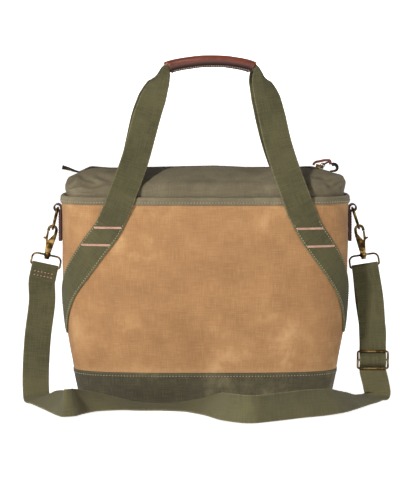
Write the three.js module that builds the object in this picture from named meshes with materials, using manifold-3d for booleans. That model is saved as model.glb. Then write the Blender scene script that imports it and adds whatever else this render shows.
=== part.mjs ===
// Insulated tote bag with webbing handles and a detachable shoulder strap, in millimetres, +Z up.
// The origin is the middle of the flat base. The front faces -Y, and the zip slider is at +X.

import * as THREE from 'three';
import { mergeVertices } from 'three/addons/utils/BufferGeometryUtils.js';
import Module from 'manifold-3d';

const wasm = await Module();
wasm.setup();

// Clearance kept between neighbouring pieces.
const GAP = 0.3;

// Plan of the bag: a rounded rectangle whose size changes with height.
const ROUNDING = 3.6;
const AROUND = 48;
const QUARTER_STEPS = 90;
const PROFILE = [
  { z: 0, halfWidth: 172, halfDepth: 82 },
  { z: 5, halfWidth: 175, halfDepth: 85 },
  { z: 26, halfWidth: 179.5, halfDepth: 88 },
  { z: 48, halfWidth: 184, halfDepth: 90 },
  { z: 80, halfWidth: 191, halfDepth: 93 },
  { z: 120, halfWidth: 196.5, halfDepth: 95 },
  { z: 165, halfWidth: 199.5, halfDepth: 95.5 },
  { z: 220, halfWidth: 200.5, halfDepth: 94 },
  { z: 290, halfWidth: 200.5, halfDepth: 91 },
];

// Shallow hollows of the padded wall, on the front (face -1) or back (face 1).
const HOLLOWS = [
  { face: -1, x: -58, z: 226, depth: 3.0, wide: 46, tall: 34 },
  { face: -1, x: 78, z: 196, depth: 2.6, wide: 40, tall: 40 },
  { face: -1, x: 6, z: 92, depth: 2.2, wide: 70, tall: 22 },
  { face: 1, x: 40, z: 214, depth: 3.0, wide: 52, tall: 36 },
  { face: 1, x: -64, z: 120, depth: 2.4, wide: 60, tall: 30 },
];

// Walls and the seam between base and wall.
const WALL = 5;
const FLOOR = 4;
const SEAM_Z = 48;
const BOOT_LEVELS = [0, 5, 26, SEAM_Z];
const WALL_LEVELS = [80, 120, 165, 192, 220, 250];
const LINING_LEVEL = 150;
const BOOT_PROUD = 1.2;
const RIM_Z = 290;
const BINDING = { tall: 10.5, thick: 1.3 };

// Closure above the rim: each row is a ring from the rim's inside up to the zip's slot.
const COLLAR_THICK = 1.8;
const COLLAR_FOOT = 10;
const COLLAR_LIFT = -(WALL + BINDING.thick + 2 * GAP);
const COLLAR_ROWS = [
  { halfLength: 194.5, halfDepth: 80, rounding: 3.6, rise: 0.34 },
  { halfLength: 195.5, halfDepth: 63, rounding: 3.8, rise: 0.62 },
  { halfLength: 195, halfDepth: 41, rounding: 4.4, rise: 0.83 },
  { halfLength: 193, halfDepth: 20, rounding: 6, rise: 0.95 },
  { halfLength: 190, halfDepth: 7, rounding: 10, rise: 1.0 },
];
const RIDGE = [
  { x: -197, z: 311 },
  { x: -179, z: 319 },
  { x: -160, z: 327 },
  { x: -128, z: 326 },
  { x: 12, z: 329 },
  { x: 58, z: 327 },
  { x: 152, z: 327 },
  { x: 170, z: 322 },
  { x: 197, z: 315 },
];
const PLEATS = [
  { x: -158, depth: 5.0, wide: 15 },
  { x: -118, depth: 2.6, wide: 18 },
  { x: 132, depth: 2.8, wide: 18 },
  { x: 166, depth: 5.0, wide: 15 },
];

// Zip along the ridge.
const ZIP = { halfLength: 175, halfWidth: 6.1, tape: 1.2, teethHalf: 2.6, teethTall: 1.5, sunk: 0.4 };
const ZIP_SLIDER = { x: 160, long: 11, wide: 8.4, tall: 4.6, bailX: 3.6, bail: 3.2, bailWire: 0.8 };
const ZIP_RING = { radius: 4.4, wire: 0.7, seat: 1.15, rise: 38 };
const ZIP_PULL = { wide: 3.6, thick: 2.6 };
const LACE = [
  { x: -9.6, rise: -2.6 },
  { x: -7.4, rise: 1.9 },
  { x: -1.5, rise: 4.8 },
  { x: 4, rise: 7.4 },
];
const LACE_BEND = { from: 115, to: -60, steps: 6 };
const TAIL = { wide: 8.5, thick: 1.8, rise: 0.3, twistLeft: 40, twistRight: 34 };
const TAIL_OUT = [
  { out: 0, rise: 0 },
  { out: 7, rise: 1.4 },
  { out: 16, rise: 4.2 },
  { out: 25, rise: 6.6 },
];
const TAIL_CURL = { out: 5, rise: 0.6, radius: 5, from: -90, to: 130, steps: 8 };

// Webbing of the handles.
const WEB = { half: 19, thick: 2.2, lift: 1.15 };
const ACROSS = [-1, -0.5, 0, 0.5, 1];
const OVER_BINDING = { from: 260, to: 276, lift: GAP + BINDING.thick + 0.6 };
const PANEL_STEPS = 12;
const FREE_STEPS = 36;
const GRIP_STEPS = 8;
const PANEL_RUN = [
  { left: 231, right: 232, z: 106 },
  { left: 224, right: 226, z: 121 },
  { left: 213, right: 217, z: 141 },
  { left: 199, right: 205, z: 163 },
  { left: 176, right: 184, z: 192 },
  { left: 153, right: 161, z: 222 },
  { left: 134, right: 144, z: 247 },
  { left: 121, right: 131, z: 273 },
];
const FOLDED = 80;
const HANDLE_RUN = [
  { x: -113.5, y: -94.4, z: 294, fold: 0, half: 19 },
  { x: -99, y: -70, z: 333, fold: 0, half: 19 },
  { x: -89.5, y: -46, z: 366, fold: 0, half: 19 },
  { x: -81, y: -31, z: 398, fold: 0, half: 19 },
  { x: -73, y: -22, z: 425, fold: 8, half: 19 },
  { x: -66, y: -19, z: 447, fold: 23, half: 16.8 },
  { x: -60, y: -14.5, z: 461, fold: 46, half: 13 },
  { x: -52, y: -9, z: 470, fold: 80, half: 6.4 },
  { x: -12, y: -9, z: 478.5, fold: 80, half: 6.4 },
  { x: 12, y: -9, z: 479.8, fold: 80, half: 6.4 },
  { x: 36, y: -9, z: 478.5, fold: 80, half: 6.4 },
  { x: 70, y: -9, z: 470.5, fold: 80, half: 6.4 },
  { x: 78, y: -14.5, z: 461, fold: 46, half: 13 },
  { x: 82, y: -19, z: 447, fold: 23, half: 16.8 },
  { x: 87.5, y: -22, z: 425, fold: 8, half: 19 },
  { x: 93, y: -31, z: 398, fold: 0, half: 19 },
  { x: 100, y: -46, z: 366, fold: 0, half: 19 },
  { x: 109.5, y: -70, z: 333, fold: 0, half: 19 },
  { x: 123.5, y: -94.4, z: 294, fold: 0, half: 19 },
];
const BACK_SHIFT = { x: -4, fullZ: 400 };

// Leather grip round the folded webbing: teardrop section with a sewn flange below.
// The grip spans rows of the handle's run.
const GRIP = {
  from: 7,
  to: 11,
  round: 6.1,
  centre: -2,
  shoulder: { p: 5.3, q: -7.2 },
  flange: { p: 2.4, q: -9.2 },
  foot: -12.4,
};
const GRIP_HOLE = {
  round: 4.2,
  centre: -2,
  shoulder: { p: 4.1, q: -5 },
  flange: { p: 3.9, q: -6.8 },
  foot: -7.1,
};

// Leather side tab with a loop at its top, and the D-ring in the loop.
const TAB = { wide: 25, thick: 4.2, foot: 224, loopRadius: 6, hole: 3.2, loopZ: 271 };
const D_RING = { half: 16.2, side: 13.8, corner: 2.6, wire: 1.6 };

// Swivel clasp, in its own upright frame: U towards the gate, W up, from the loop's boss.
const CLASP = { thick: 6.2, slot: 3.2, slotFloor: 14.5, slotSide: -2.4, stem: 2, head: 3.4, headTall: 2.6 };
const CLASP_OUTLINE = [
  { u: -4, w: 6.5 },
  { u: 4, w: 6.5 },
  { u: 5.6, w: 21.5 },
  { u: 3.4, w: 23.2 },
  { u: -3.4, w: 33.5 },
  { u: -3.4, w: 39 },
  { u: -7.6, w: 39 },
  { u: -7.2, w: 30 },
];
const HOOK = { radius: 5.5, wire: 2.1, centreW: 39, tipW: 36.6 };
const GATE = { pivotU: 3.2, pivotW: 17.6, pin: 1.1, bore: 1.5, thick: 2.5 };
const GATE_OUTLINE = [
  { u: 1.5, w: 15.7 },
  { u: 4.8, w: 15.7 },
  { u: 5.4, w: 19 },
  { u: 6.5, w: 23.6 },
  { u: 10.8, w: 25.6 },
  { u: 10.4, w: 27.4 },
  { u: 7.4, w: 27.4 },
  { u: 7.0, w: 36.1 },
  { u: 4.5, w: 36.1 },
  { u: 3.9, w: 25 },
  { u: 1.7, w: 19.4 },
];
const LOOP = { half: 20.5, top: 3, bar: -13, topCorner: 7, barCorner: 2.4, wire: 1.6 };
const BOSS = { outer: 4.4, bore: 2.4, tall: 6 };

// Where each side's clasp hangs: the boss's place and the lean of the clasp's axis.
const SIDES = [
  { name: 'left', sign: -1, turn: Math.PI, bossX: 222.2, bossZ: 201.2, lean: 12 },
  { name: 'right', sign: 1, turn: 0, bossX: 222.4, bossZ: 201.2, lean: 9 },
];

// Shoulder strap: webbing of one width, with its tri-glide slider on the right.
const STRAP = { half: 18.6, thick: 1.9, rest: 1.3, tail: 21, below: 8, longestStep: 20, mostTwist: 16 };
const GLIDE = { x: 235.5, y: -10, z: 57, half: 21.2, tall: 12, wire: 1.5, corner: 2.6 };
const GLIDE_FIT = { tail: 1.7, closed: 1.4, front: 50, apart: 3.4, layer: 0.5, leave: 3 };
const GLIDE_WEAVE = { through: 7.2, ease: 0.6, slack: 0.1, lip: 2.2, crown: 4.4, dip: 1.6, stand: 1.1 };
const LEFT_DROP = [
  { x: -229, y: -4, z: 140, across: [1, 0, -0.08] },
  { x: -235, y: -8, z: 90, across: [1, 0, 0] },
  { x: -237.5, y: -11, z: 50, across: [1, 0, 0] },
  { x: -238, y: -12, z: 24, across: [1, 0, 0.02] },
  { x: -237, y: -17.5, z: 9, across: [1, 0.06, 0.05] },
];
const FLOOR_RUN = [
  { x: -252, y: -40, lean: 9 },
  { x: -240, y: -74, lean: 26 },
  { x: -224, y: -118, lean: 44 },
  { x: -208, y: -160, lean: 60 },
  { x: -196, y: -190, lean: 80 },
  { x: -189, y: -201, lean: 93 },
  { x: -181, y: -194, lean: 98 },
  { x: -169, y: -170, lean: 70 },
  { x: -149, y: -146, lean: 47 },
  { x: -118, y: -132, lean: 22 },
  { x: -86, y: -127, lean: 3 },
  { x: -55, y: -130, lean: 4 },
  { x: -24, y: -147, lean: 22 },
  { x: 0, y: -187, lean: 50 },
  { x: 27, y: -240, lean: 80 },
  { x: 59, y: -262, lean: 90 },
  { x: 94, y: -240, lean: 90 },
  { x: 132, y: -208, lean: 86 },
  { x: 160, y: -190, lean: 68 },
  { x: 184, y: -168, lean: 60 },
  { x: 206, y: -126, lean: 40 },
  { x: 228, y: -76, lean: 22 },
  { x: 246, y: -36, lean: 8 },
];
const RIGHT_RISE = [
  { x: 241.5, y: -13, z: 8.5, across: [-1, 0.04, 0] },
  { x: 240, y: -9.2, z: 23, across: [-1, 0, -0.06] },
];
const BACK_LAYER = [
  { x: 230, y: 6, z: 140, across: [-1, 0, -0.05] },
  { x: 236, y: 1, z: 96, across: [-1, 0, 0] },
];

// Finishes.
const FINISH = {
  tan: { color: 0xc49a66, roughness: 0.9, metalness: 0 },
  base: { color: 0x554e3e, roughness: 0.85, metalness: 0 },
  olive: { color: 0x736c55, roughness: 0.88, metalness: 0 },
  webbing: { color: 0x64614a, roughness: 0.95, metalness: 0 },
  grip: { color: 0x78372a, roughness: 0.45, metalness: 0 },
  tab: { color: 0x55322d, roughness: 0.6, metalness: 0 },
  brass: { color: 0x8c6937, roughness: 0.4, metalness: 1 },
  zip: { color: 0x2c2a26, roughness: 0.8, metalness: 0 },
};

const bag = new THREE.Group();

// Adds one named piece to a group.
function addPiece(name, geometry, finish, parent = bag) {
  const mesh = new THREE.Mesh(geometry, new THREE.MeshStandardMaterial(FINISH[finish]));
  mesh.name = name;
  parent.add(mesh);
  return mesh;
}

// A value of a table at one key, with straight lines between its rows.
function lookUp(rows, key, at, value) {
  const last = rows.length - 1;
  if (at <= rows[0][key]) return rows[0][value];
  if (at >= rows[last][key]) return rows[last][value];
  const next = rows.findIndex((row) => row[key] > at);
  const low = rows[next - 1];
  const high = rows[next];
  return THREE.MathUtils.mapLinear(at, low[key], high[key], low[value], high[value]);
}

// Turns a geometry inside out when its faces point in.
function faceOut(positions, triangles) {
  const a = new THREE.Vector3();
  const b = new THREE.Vector3();
  const c = new THREE.Vector3();
  let volume = 0;
  for (let i = 0; i < triangles.length; i += 3) {
    a.fromArray(positions, 3 * triangles[i]);
    b.fromArray(positions, 3 * triangles[i + 1]);
    c.fromArray(positions, 3 * triangles[i + 2]);
    volume += a.dot(b.cross(c));
  }
  return volume < 0 ? triangles.reverse() : triangles;
}

// Triangles that fill one flat ring of points.
function capOf(ring) {
  const normal = new THREE.Vector3();
  ring.forEach((point, i) => normal.add(point.clone().cross(ring[(i + 1) % ring.length])));
  normal.normalize();
  const right = ring[1].clone().sub(ring[0]).normalize();
  const up = normal.clone().cross(right);
  const flat = ring.map((point) => new THREE.Vector2(point.dot(right), point.dot(up)));
  return THREE.ShapeUtils.triangulateShape(flat, []).map((corners) => {
    const [p, q, r] = corners.map((i) => flat[i]);
    const turn = (q.x - p.x) * (r.y - p.y) - (q.y - p.y) * (r.x - p.x);
    return turn > 0 ? corners : [corners[0], corners[2], corners[1]];
  });
}

// A closed body through rings of equal length; a looped one returns to its first ring.
// A two-faced ring runs over the front of webbing and back under it, and both faces share diagonals.
function loft(rings, looped = false, twoFaced = false) {
  const size = rings[0].length;
  const positions = rings.flat().flatMap((point) => point.toArray());
  const triangles = [];
  const spans = looped ? rings.length : rings.length - 1;
  for (let k = 0; k < spans; k += 1) {
    const low = k * size;
    const high = ((k + 1) % rings.length) * size;
    for (let i = 0; i < size; i += 1) {
      const j = (i + 1) % size;
      if (twoFaced && i >= size / 2) triangles.push(low + i, low + j, high + i, low + j, high + j, high + i);
      else triangles.push(low + i, low + j, high + j, low + i, high + j, high + i);
    }
  }
  if (!looped) {
    const last = (rings.length - 1) * size;
    capOf(rings[0]).forEach(([p, q, r]) => triangles.push(r, q, p));
    capOf(rings[rings.length - 1]).forEach(([p, q, r]) => triangles.push(last + p, last + q, last + r));
  }
  const geometry = new THREE.BufferGeometry();
  geometry.setAttribute('position', new THREE.Float32BufferAttribute(positions, 3));
  geometry.setIndex(faceOut(positions, triangles));
  geometry.computeVertexNormals();
  return geometry;
}

// Closed geometry as a solid that can be joined and cut.
function solidOf(geometry) {
  const bare = geometry.clone();
  bare.deleteAttribute('normal');
  bare.deleteAttribute('uv');
  const merged = mergeVertices(bare, 1e-4);
  return new wasm.Manifold(
    new wasm.Mesh({
      numProp: 3,
      vertProperties: new Float32Array(merged.attributes.position.array),
      triVerts: new Uint32Array(merged.index.array),
    }),
  );
}

// A solid back as geometry.
function geometryOf(solid) {
  const { vertProperties, triVerts } = solid.getMesh();
  const geometry = new THREE.BufferGeometry();
  geometry.setAttribute('position', new THREE.Float32BufferAttribute(vertProperties, 3));
  geometry.setIndex(Array.from(triVerts));
  geometry.computeVertexNormals();
  return geometry;
}

// Round wire along points of the X-Z plane, which stay at one Y.
function wireOf(points, radius, sides, looped) {
  const across = new THREE.Vector3(0, 1, 0);
  const count = points.length;
  const rings = points.map((point, k) => {
    const before = points[looped ? (k + count - 1) % count : Math.max(k - 1, 0)];
    const after = points[looped ? (k + 1) % count : Math.min(k + 1, count - 1)];
    const out = after.clone().sub(before).normalize().cross(across);
    return Array.from({ length: sides }, (_, i) => {
      const angle = (2 * Math.PI * (i + 0.5)) / sides;
      return point
        .clone()
        .addScaledVector(out, radius * Math.cos(angle))
        .addScaledVector(across, radius * Math.sin(angle));
    });
  });
  return loft(rings, looped);
}

// Points of an arc in the X-Z plane.
function arcOf(x, z, radius, from, to, steps) {
  return Array.from({ length: steps + 1 }, (_, i) => {
    const angle = THREE.MathUtils.degToRad(THREE.MathUtils.lerp(from, to, i / steps));
    return new THREE.Vector3(x + radius * Math.cos(angle), 0, z + radius * Math.sin(angle));
  });
}

// A rounded rectangle in the X-Z plane, as a closed row of points.
function frameOf(half, top, bottom, topCorner, bottomCorner, steps) {
  return [
    ...arcOf(half - topCorner, top - topCorner, topCorner, 0, 90, steps),
    ...arcOf(topCorner - half, top - topCorner, topCorner, 90, 180, steps),
    ...arcOf(bottomCorner - half, bottom + bottomCorner, bottomCorner, 180, 270, steps),
    ...arcOf(half - bottomCorner, bottom + bottomCorner, bottomCorner, 270, 360, steps),
  ];
}

// An outline of U and W, extruded evenly to both sides of Y = 0.
function plateOf(outline, thick) {
  const shape = new THREE.Shape(outline.map(({ u, w }) => new THREE.Vector2(u, w)));
  const plate = new THREE.ExtrudeGeometry(shape, { depth: thick, bevelEnabled: false });
  return plate.translate(0, 0, -thick / 2).rotateX(Math.PI / 2);
}

// A cylinder along Y (or along Z) through one point.
function pinOf(x, z, radius, long, alongZ = false) {
  const pin = new THREE.CylinderGeometry(radius, radius, long, 12);
  if (alongZ) pin.rotateX(Math.PI / 2);
  return pin.translate(x, 0, z);
}

// One turn of the plan as even steps: the quarter from the front's middle to the side's middle.
function quarterOf(halfWidth, halfDepth, rounding) {
  const points = [];
  let length = 0;
  for (let i = 0; i <= QUARTER_STEPS; i += 1) {
    const angle = (Math.PI / 2) * (i / QUARTER_STEPS);
    const x = halfWidth * Math.sin(angle) ** (2 / rounding);
    const y = halfDepth * Math.cos(angle) ** (2 / rounding);
    if (i > 0) length += Math.hypot(x - points[i - 1].x, y - points[i - 1].y);
    points.push({ x, y, length });
  }
  return points;
}

// A point of the plan at a share of the way round, and its outward direction.
function planAt(share, halfWidth, halfDepth, rounding, z) {
  const turn = THREE.MathUtils.euclideanModulo(share, 1) * 4;
  const rightSide = turn <= 2;
  const fromEnd = rightSide ? turn : 4 - turn;
  const frontSide = fromEnd <= 1;
  const quarter = quarterOf(halfWidth, halfDepth, rounding);
  const length = quarter[QUARTER_STEPS].length * (frontSide ? fromEnd : 2 - fromEnd);
  const x = lookUp(quarter, 'length', length, 'x') * (rightSide ? 1 : -1);
  const y = lookUp(quarter, 'length', length, 'y') * (frontSide ? -1 : 1);
  const steepX = Math.sign(x) * Math.abs(x / halfWidth) ** (rounding - 1) / halfWidth;
  const steepY = Math.sign(y) * Math.abs(y / halfDepth) ** (rounding - 1) / halfDepth;
  const out = new THREE.Vector3(steepX, steepY, 0).normalize();
  return { point: new THREE.Vector3(x, y, z), out };
}

// How deep the wall's hollows are at one place.
function hollowAt(point) {
  return HOLLOWS.reduce((sum, { face, x, z, depth, wide, tall }) => {
    if (face * point.y < 0) return sum;
    const far = ((point.x - x) / wide) ** 2 + ((point.z - z) / tall) ** 2;
    return sum + depth * Math.exp(-far);
  }, 0);
}

// A point of the bag's outside at a share of the way round and a height, lifted outwards.
function skinAt(share, z, lift) {
  const halfWidth = lookUp(PROFILE, 'z', z, 'halfWidth');
  const halfDepth = lookUp(PROFILE, 'z', z, 'halfDepth');
  const { point, out } = planAt(share, halfWidth, halfDepth, ROUNDING, z);
  return point.clone().addScaledVector(out, lift - hollowAt(point));
}

// The same, by the distance along the outside from the front's middle.
function skinAlong(along, z, lift) {
  const halfWidth = lookUp(PROFILE, 'z', z, 'halfWidth');
  const halfDepth = lookUp(PROFILE, 'z', z, 'halfDepth');
  const quarter = quarterOf(halfWidth, halfDepth, ROUNDING);
  return skinAt(along / (4 * quarter[QUARTER_STEPS].length), z, lift);
}

// One ring of the bag's outside.
function skinRing(z, lift) {
  return Array.from({ length: AROUND }, (_, i) => skinAt(i / AROUND, z, lift));
}

// Padded wall from the base seam to the rim.
function bodyPanel() {
  const foot = SEAM_Z + GAP;
  const top = RIM_Z - BINDING.thick - GAP;
  const heights = [foot, ...WALL_LEVELS, RIM_Z - BINDING.tall, top];
  const inside = [top, RIM_Z - BINDING.tall, LINING_LEVEL, foot];
  const rings = [...heights.map((z) => skinRing(z, 0)), ...inside.map((z) => skinRing(z, -WALL))];
  return loft(rings, true);
}

// Base tub with its floor.
function baseBoot() {
  const inside = [SEAM_Z, BOOT_LEVELS[2], FLOOR];
  const outer = BOOT_LEVELS.map((z, i) => skinRing(z, i === 0 ? 0 : BOOT_PROUD));
  return loft([...outer, ...inside.map((z) => skinRing(z, -WALL))]);
}

// Binding folded over the wall's top edge.
function rimBinding() {
  const outside = GAP + BINDING.thick;
  const inside = -WALL - GAP - BINDING.thick;
  const foot = RIM_Z - BINDING.tall;
  const under = RIM_Z - BINDING.thick;
  const rows = [
    { z: foot, lift: outside },
    { z: RIM_Z, lift: outside },
    { z: RIM_Z, lift: inside },
    { z: foot, lift: inside },
    { z: foot, lift: -WALL - GAP },
    { z: under, lift: -WALL - GAP },
    { z: under, lift: GAP },
    { z: foot, lift: GAP },
  ];
  return loft(rows.map(({ z, lift }) => skinRing(z, lift)), true);
}

// One ring of the closure, with its pleats, set inwards by the cloth's thickness if asked.
function collarRing({ halfLength, halfDepth, rounding, rise }, inset) {
  return Array.from({ length: AROUND }, (_, i) => {
    const { point } = planAt(i / AROUND, halfLength - inset, halfDepth - inset * (1 - rise), rounding, 0);
    const ridge = lookUp(RIDGE, 'x', point.x, 'z');
    const slope = Math.sin(Math.PI * rise);
    const pleat = PLEATS.reduce((sum, { x, depth, wide }) => {
      return sum + depth * Math.exp(-(((point.x - x) / wide) ** 2));
    }, 0);
    return point.setZ(RIM_Z + (ridge - RIM_Z) * rise - pleat * slope - inset * rise);
  });
}

// Closure from the inside of the rim to the zip's slot.
function collar() {
  const outer = COLLAR_ROWS.map((row) => collarRing(row, 0));
  const everyOther = COLLAR_ROWS.filter((_, i) => i % 2 === 0);
  const inner = everyOther.map((row) => collarRing(row, COLLAR_THICK)).reverse();
  const feet = [RIM_Z - COLLAR_FOOT, RIM_Z];
  const skirt = feet.map((z) => skinRing(z, COLLAR_LIFT));
  const lining = feet.map((z) => skinRing(z, COLLAR_LIFT - COLLAR_THICK)).reverse();
  return loft([...skirt, ...outer, ...inner, ...lining], true);
}

// Zip tape with its row of teeth, along the ridge.
function zipTape() {
  const { halfLength, halfWidth, tape, teethHalf, teethTall } = ZIP;
  const ends = RIDGE.map(({ x }) => x).filter((x) => Math.abs(x) < halfLength);
  const stations = [-halfLength, ...ends, halfLength];
  const rings = stations.map((x) => {
    const top = lookUp(RIDGE, 'x', x, 'z') - ZIP.sunk;
    const section = [
      [-halfWidth, top - tape],
      [halfWidth, top - tape],
      [halfWidth, top],
      [teethHalf, top],
      [teethHalf, top + teethTall],
      [-teethHalf, top + teethTall],
      [-teethHalf, top],
      [-halfWidth, top],
    ];
    return section.map(([y, z]) => new THREE.Vector3(x, y, z));
  });
  return loft(rings);
}

// A flat strip bent along points of the X-Z plane, turned towards the front as it goes if asked.
function stripOf(points, wide, thick, twist = 0) {
  const rings = points.map((point, k) => {
    const before = points[Math.max(k - 1, 0)];
    const after = points[Math.min(k + 1, points.length - 1)];
    const along = after.clone().sub(before).normalize();
    const turn = THREE.MathUtils.degToRad((twist * k) / (points.length - 1));
    const up = new THREE.Vector3(-along.z, 0, along.x).applyAxisAngle(along, turn).multiplyScalar(thick / 2);
    const side = new THREE.Vector3(0, 1, 0).applyAxisAngle(along, turn).multiplyScalar(wide / 2);
    return [
      point.clone().add(up).sub(side),
      point.clone().add(up).add(side),
      point.clone().sub(up).add(side),
      point.clone().sub(up).sub(side),
    ];
  });
  return loft(rings);
}

// Zip ends beyond the slot: the left one stands out, the right one curls back over itself.
function zipTails() {
  const start = ZIP.halfLength + GAP;
  const leftZ = lookUp(RIDGE, 'x', -start, 'z') + TAIL.rise;
  const rightZ = lookUp(RIDGE, 'x', start, 'z') + TAIL.rise;
  const left = TAIL_OUT.map(({ out, rise }) => new THREE.Vector3(-start - out, 0, leftZ + rise));
  const { out, rise, radius, from, to, steps } = TAIL_CURL;
  const right = [
    new THREE.Vector3(start, 0, rightZ),
    ...arcOf(start + out, rightZ + rise + radius, radius, from, to, steps),
  ];
  addPiece('zip_tail_left', stripOf(left, TAIL.wide, TAIL.thick, TAIL.twistLeft), 'zip');
  addPiece('zip_tail_right', stripOf(right, TAIL.wide, TAIL.thick, TAIL.twistRight), 'zip');
}

// Zip slider with its bail, the ring in the bail and the leather pull through the ring.
function zipSlider() {
  const { x, long, wide, tall, bailX, bail, bailWire } = ZIP_SLIDER;
  const teethTop = lookUp(RIDGE, 'x', x, 'z') - ZIP.sunk + ZIP.teethTall;
  const slope = lookUp(RIDGE, 'x', x + long, 'z') - lookUp(RIDGE, 'x', x - long, 'z');
  const tilted = new THREE.Group();
  tilted.position.set(x, 0, teethTop + GAP);
  tilted.rotation.y = -Math.atan2(slope, 2 * long);
  bag.add(tilted);

  const block = new THREE.BoxGeometry(long, wide, tall).translate(0, 0, tall / 2);
  const arch = wireOf(arcOf(bailX, tall, bail, -20, 200, 8), bailWire, 6, false);
  addPiece('zip_slider', geometryOf(solidOf(block).add(solidOf(arch))), 'brass', tilted);

  const rise = THREE.MathUtils.degToRad(ZIP_RING.rise);
  const reach = new THREE.Vector3(Math.cos(rise), 0, Math.sin(rise));
  const low = new THREE.Vector3(bailX, 0, tall + ZIP_RING.seat);
  const hoop = new THREE.TorusGeometry(ZIP_RING.radius, ZIP_RING.wire, 5, 12);
  const ring = addPiece('zip_ring', hoop, 'brass', tilted);
  ring.position.copy(low).addScaledVector(reach, ZIP_RING.radius);
  ring.rotation.y = -rise;

  const high = low.clone().addScaledVector(reach, 2 * ZIP_RING.radius);
  const bend = ZIP_RING.wire + GAP + ZIP_PULL.thick / 2;
  const lace = [
    ...LACE.map((row) => new THREE.Vector3(row.x, 0, tall + row.rise)),
    ...arcOf(high.x, high.z, bend, LACE_BEND.from, LACE_BEND.to, LACE_BEND.steps),
  ];
  addPiece('zip_pull', stripOf(lace, ZIP_PULL.wide, ZIP_PULL.thick), 'grip', tilted);
}

// A webbing section lying on the wall, following its curve, at one place of a run along it.
function panelSection(run, share) {
  const at = run.getPoint(share);
  const along = run.getTangent(share);
  const row = (extra) =>
    ACROSS.map((step) => {
      const place = at.x - step * WEB.half * along.y;
      const z = at.y + step * WEB.half * along.x;
      const over = OVER_BINDING.lift * THREE.MathUtils.smoothstep(z, OVER_BINDING.from, OVER_BINDING.to);
      return skinAlong(place, z, WEB.lift + over + extra);
    });
  return [...row(WEB.thick), ...row(0).reverse()];
}

// The free run of a handle, with a frame that turns as the webbing folds towards the grip.
const handleCurve = new THREE.CatmullRomCurve3(
  HANDLE_RUN.map(({ x, y, z }) => new THREE.Vector3(x, y, z)),
  false,
  'centripetal',
);
function handleFrame(share) {
  const along = handleCurve.getTangent(share);
  const front = new THREE.Vector3(0, -1, 0);
  front.addScaledVector(along, -front.dot(along)).normalize();
  const side = front.clone().cross(along);
  const row = share * (HANDLE_RUN.length - 1);
  const low = HANDLE_RUN[Math.min(Math.floor(row), HANDLE_RUN.length - 2)];
  const high = HANDLE_RUN[HANDLE_RUN.indexOf(low) + 1];
  const step = row - HANDLE_RUN.indexOf(low);
  const fold = THREE.MathUtils.lerp(low.fold, high.fold, step);
  const turn = THREE.MathUtils.degToRad((90 * fold) / FOLDED);
  return {
    at: handleCurve.getPoint(share),
    out: front.clone().multiplyScalar(Math.cos(turn)).addScaledVector(side, Math.sin(turn)),
    wide: side.clone().multiplyScalar(Math.cos(turn)).addScaledVector(front, -Math.sin(turn)),
    fold: THREE.MathUtils.degToRad(fold),
    half: THREE.MathUtils.lerp(low.half, high.half, step),
  };
}

// A free webbing section, folded lengthwise about its middle.
function freeSection(share) {
  const { at, out, wide, fold, half } = handleFrame(share);
  const apart = (WEB.thick / 2 + GAP) * Math.sin(fold);
  const row = (offset) =>
    ACROSS.map((step) => {
      const sign = Math.sign(step);
      const reach = Math.abs(step) * half;
      const lean = sign === 0 ? 0 : Math.sin(fold);
      const rise = sign === 0 ? 1 : Math.cos(fold);
      return at
        .clone()
        .addScaledVector(wide, sign * (reach * Math.cos(fold) + apart + offset * lean))
        .addScaledVector(out, offset * rise - reach * Math.sin(fold));
    });
  return [...row(WEB.thick / 2), ...row(-WEB.thick / 2).reverse()];
}

// One handle: up the left side of the front, through the grip and down the right side.
function handleRings() {
  const leftRun = new THREE.SplineCurve(PANEL_RUN.map(({ left, z }) => new THREE.Vector2(-left, z)));
  const downward = PANEL_RUN.map(({ right, z }) => new THREE.Vector2(right, z)).reverse();
  const rightRun = new THREE.SplineCurve(downward);
  const steps = Array.from({ length: PANEL_STEPS + 1 }, (_, i) => i / PANEL_STEPS);
  const free = Array.from({ length: FREE_STEPS + 1 }, (_, i) => freeSection(i / FREE_STEPS));
  return [
    ...steps.map((share) => panelSection(leftRun, share)),
    ...free,
    ...steps.map((share) => panelSection(rightRun, share)),
  ];
}

// A ring of points mirrored to the back of the bag.
function toBack(ring) {
  return ring.map(({ x, y, z }) => {
    const shift = BACK_SHIFT.x * THREE.MathUtils.smoothstep(z, RIM_Z, BACK_SHIFT.fullZ);
    return new THREE.Vector3(x + shift, -y, z);
  });
}

// A teardrop section: a round upper part above a narrow flange, or a hole inside it.
function teardrop({ round, centre, shoulder, flange, foot }) {
  const arc = arcOf(0, centre, round, -10, 190, 5).map(({ x, z }) => [x, z]);
  return [
    ...arc,
    [-shoulder.p, shoulder.q],
    [-flange.p, flange.q],
    [-flange.p, foot],
    [flange.p, foot],
    [flange.p, flange.q],
    [shoulder.p, shoulder.q],
  ];
}

// Leather grip: outside one way along the handle, inside back again.
function gripRings() {
  const shares = Array.from({ length: GRIP_STEPS + 1 }, (_, i) => {
    return THREE.MathUtils.lerp(GRIP.from, GRIP.to, i / GRIP_STEPS) / (HANDLE_RUN.length - 1);
  });
  const ringAt = (share, section) => {
    const { at, out, wide } = handleFrame(share);
    return teardrop(section).map(([p, q]) => at.clone().addScaledVector(wide, p).addScaledVector(out, q));
  };
  const outside = shares.map((share) => ringAt(share, GRIP));
  const inside = shares.map((share) => ringAt(share, GRIP_HOLE)).reverse();
  return [...outside, ...inside];
}

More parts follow.
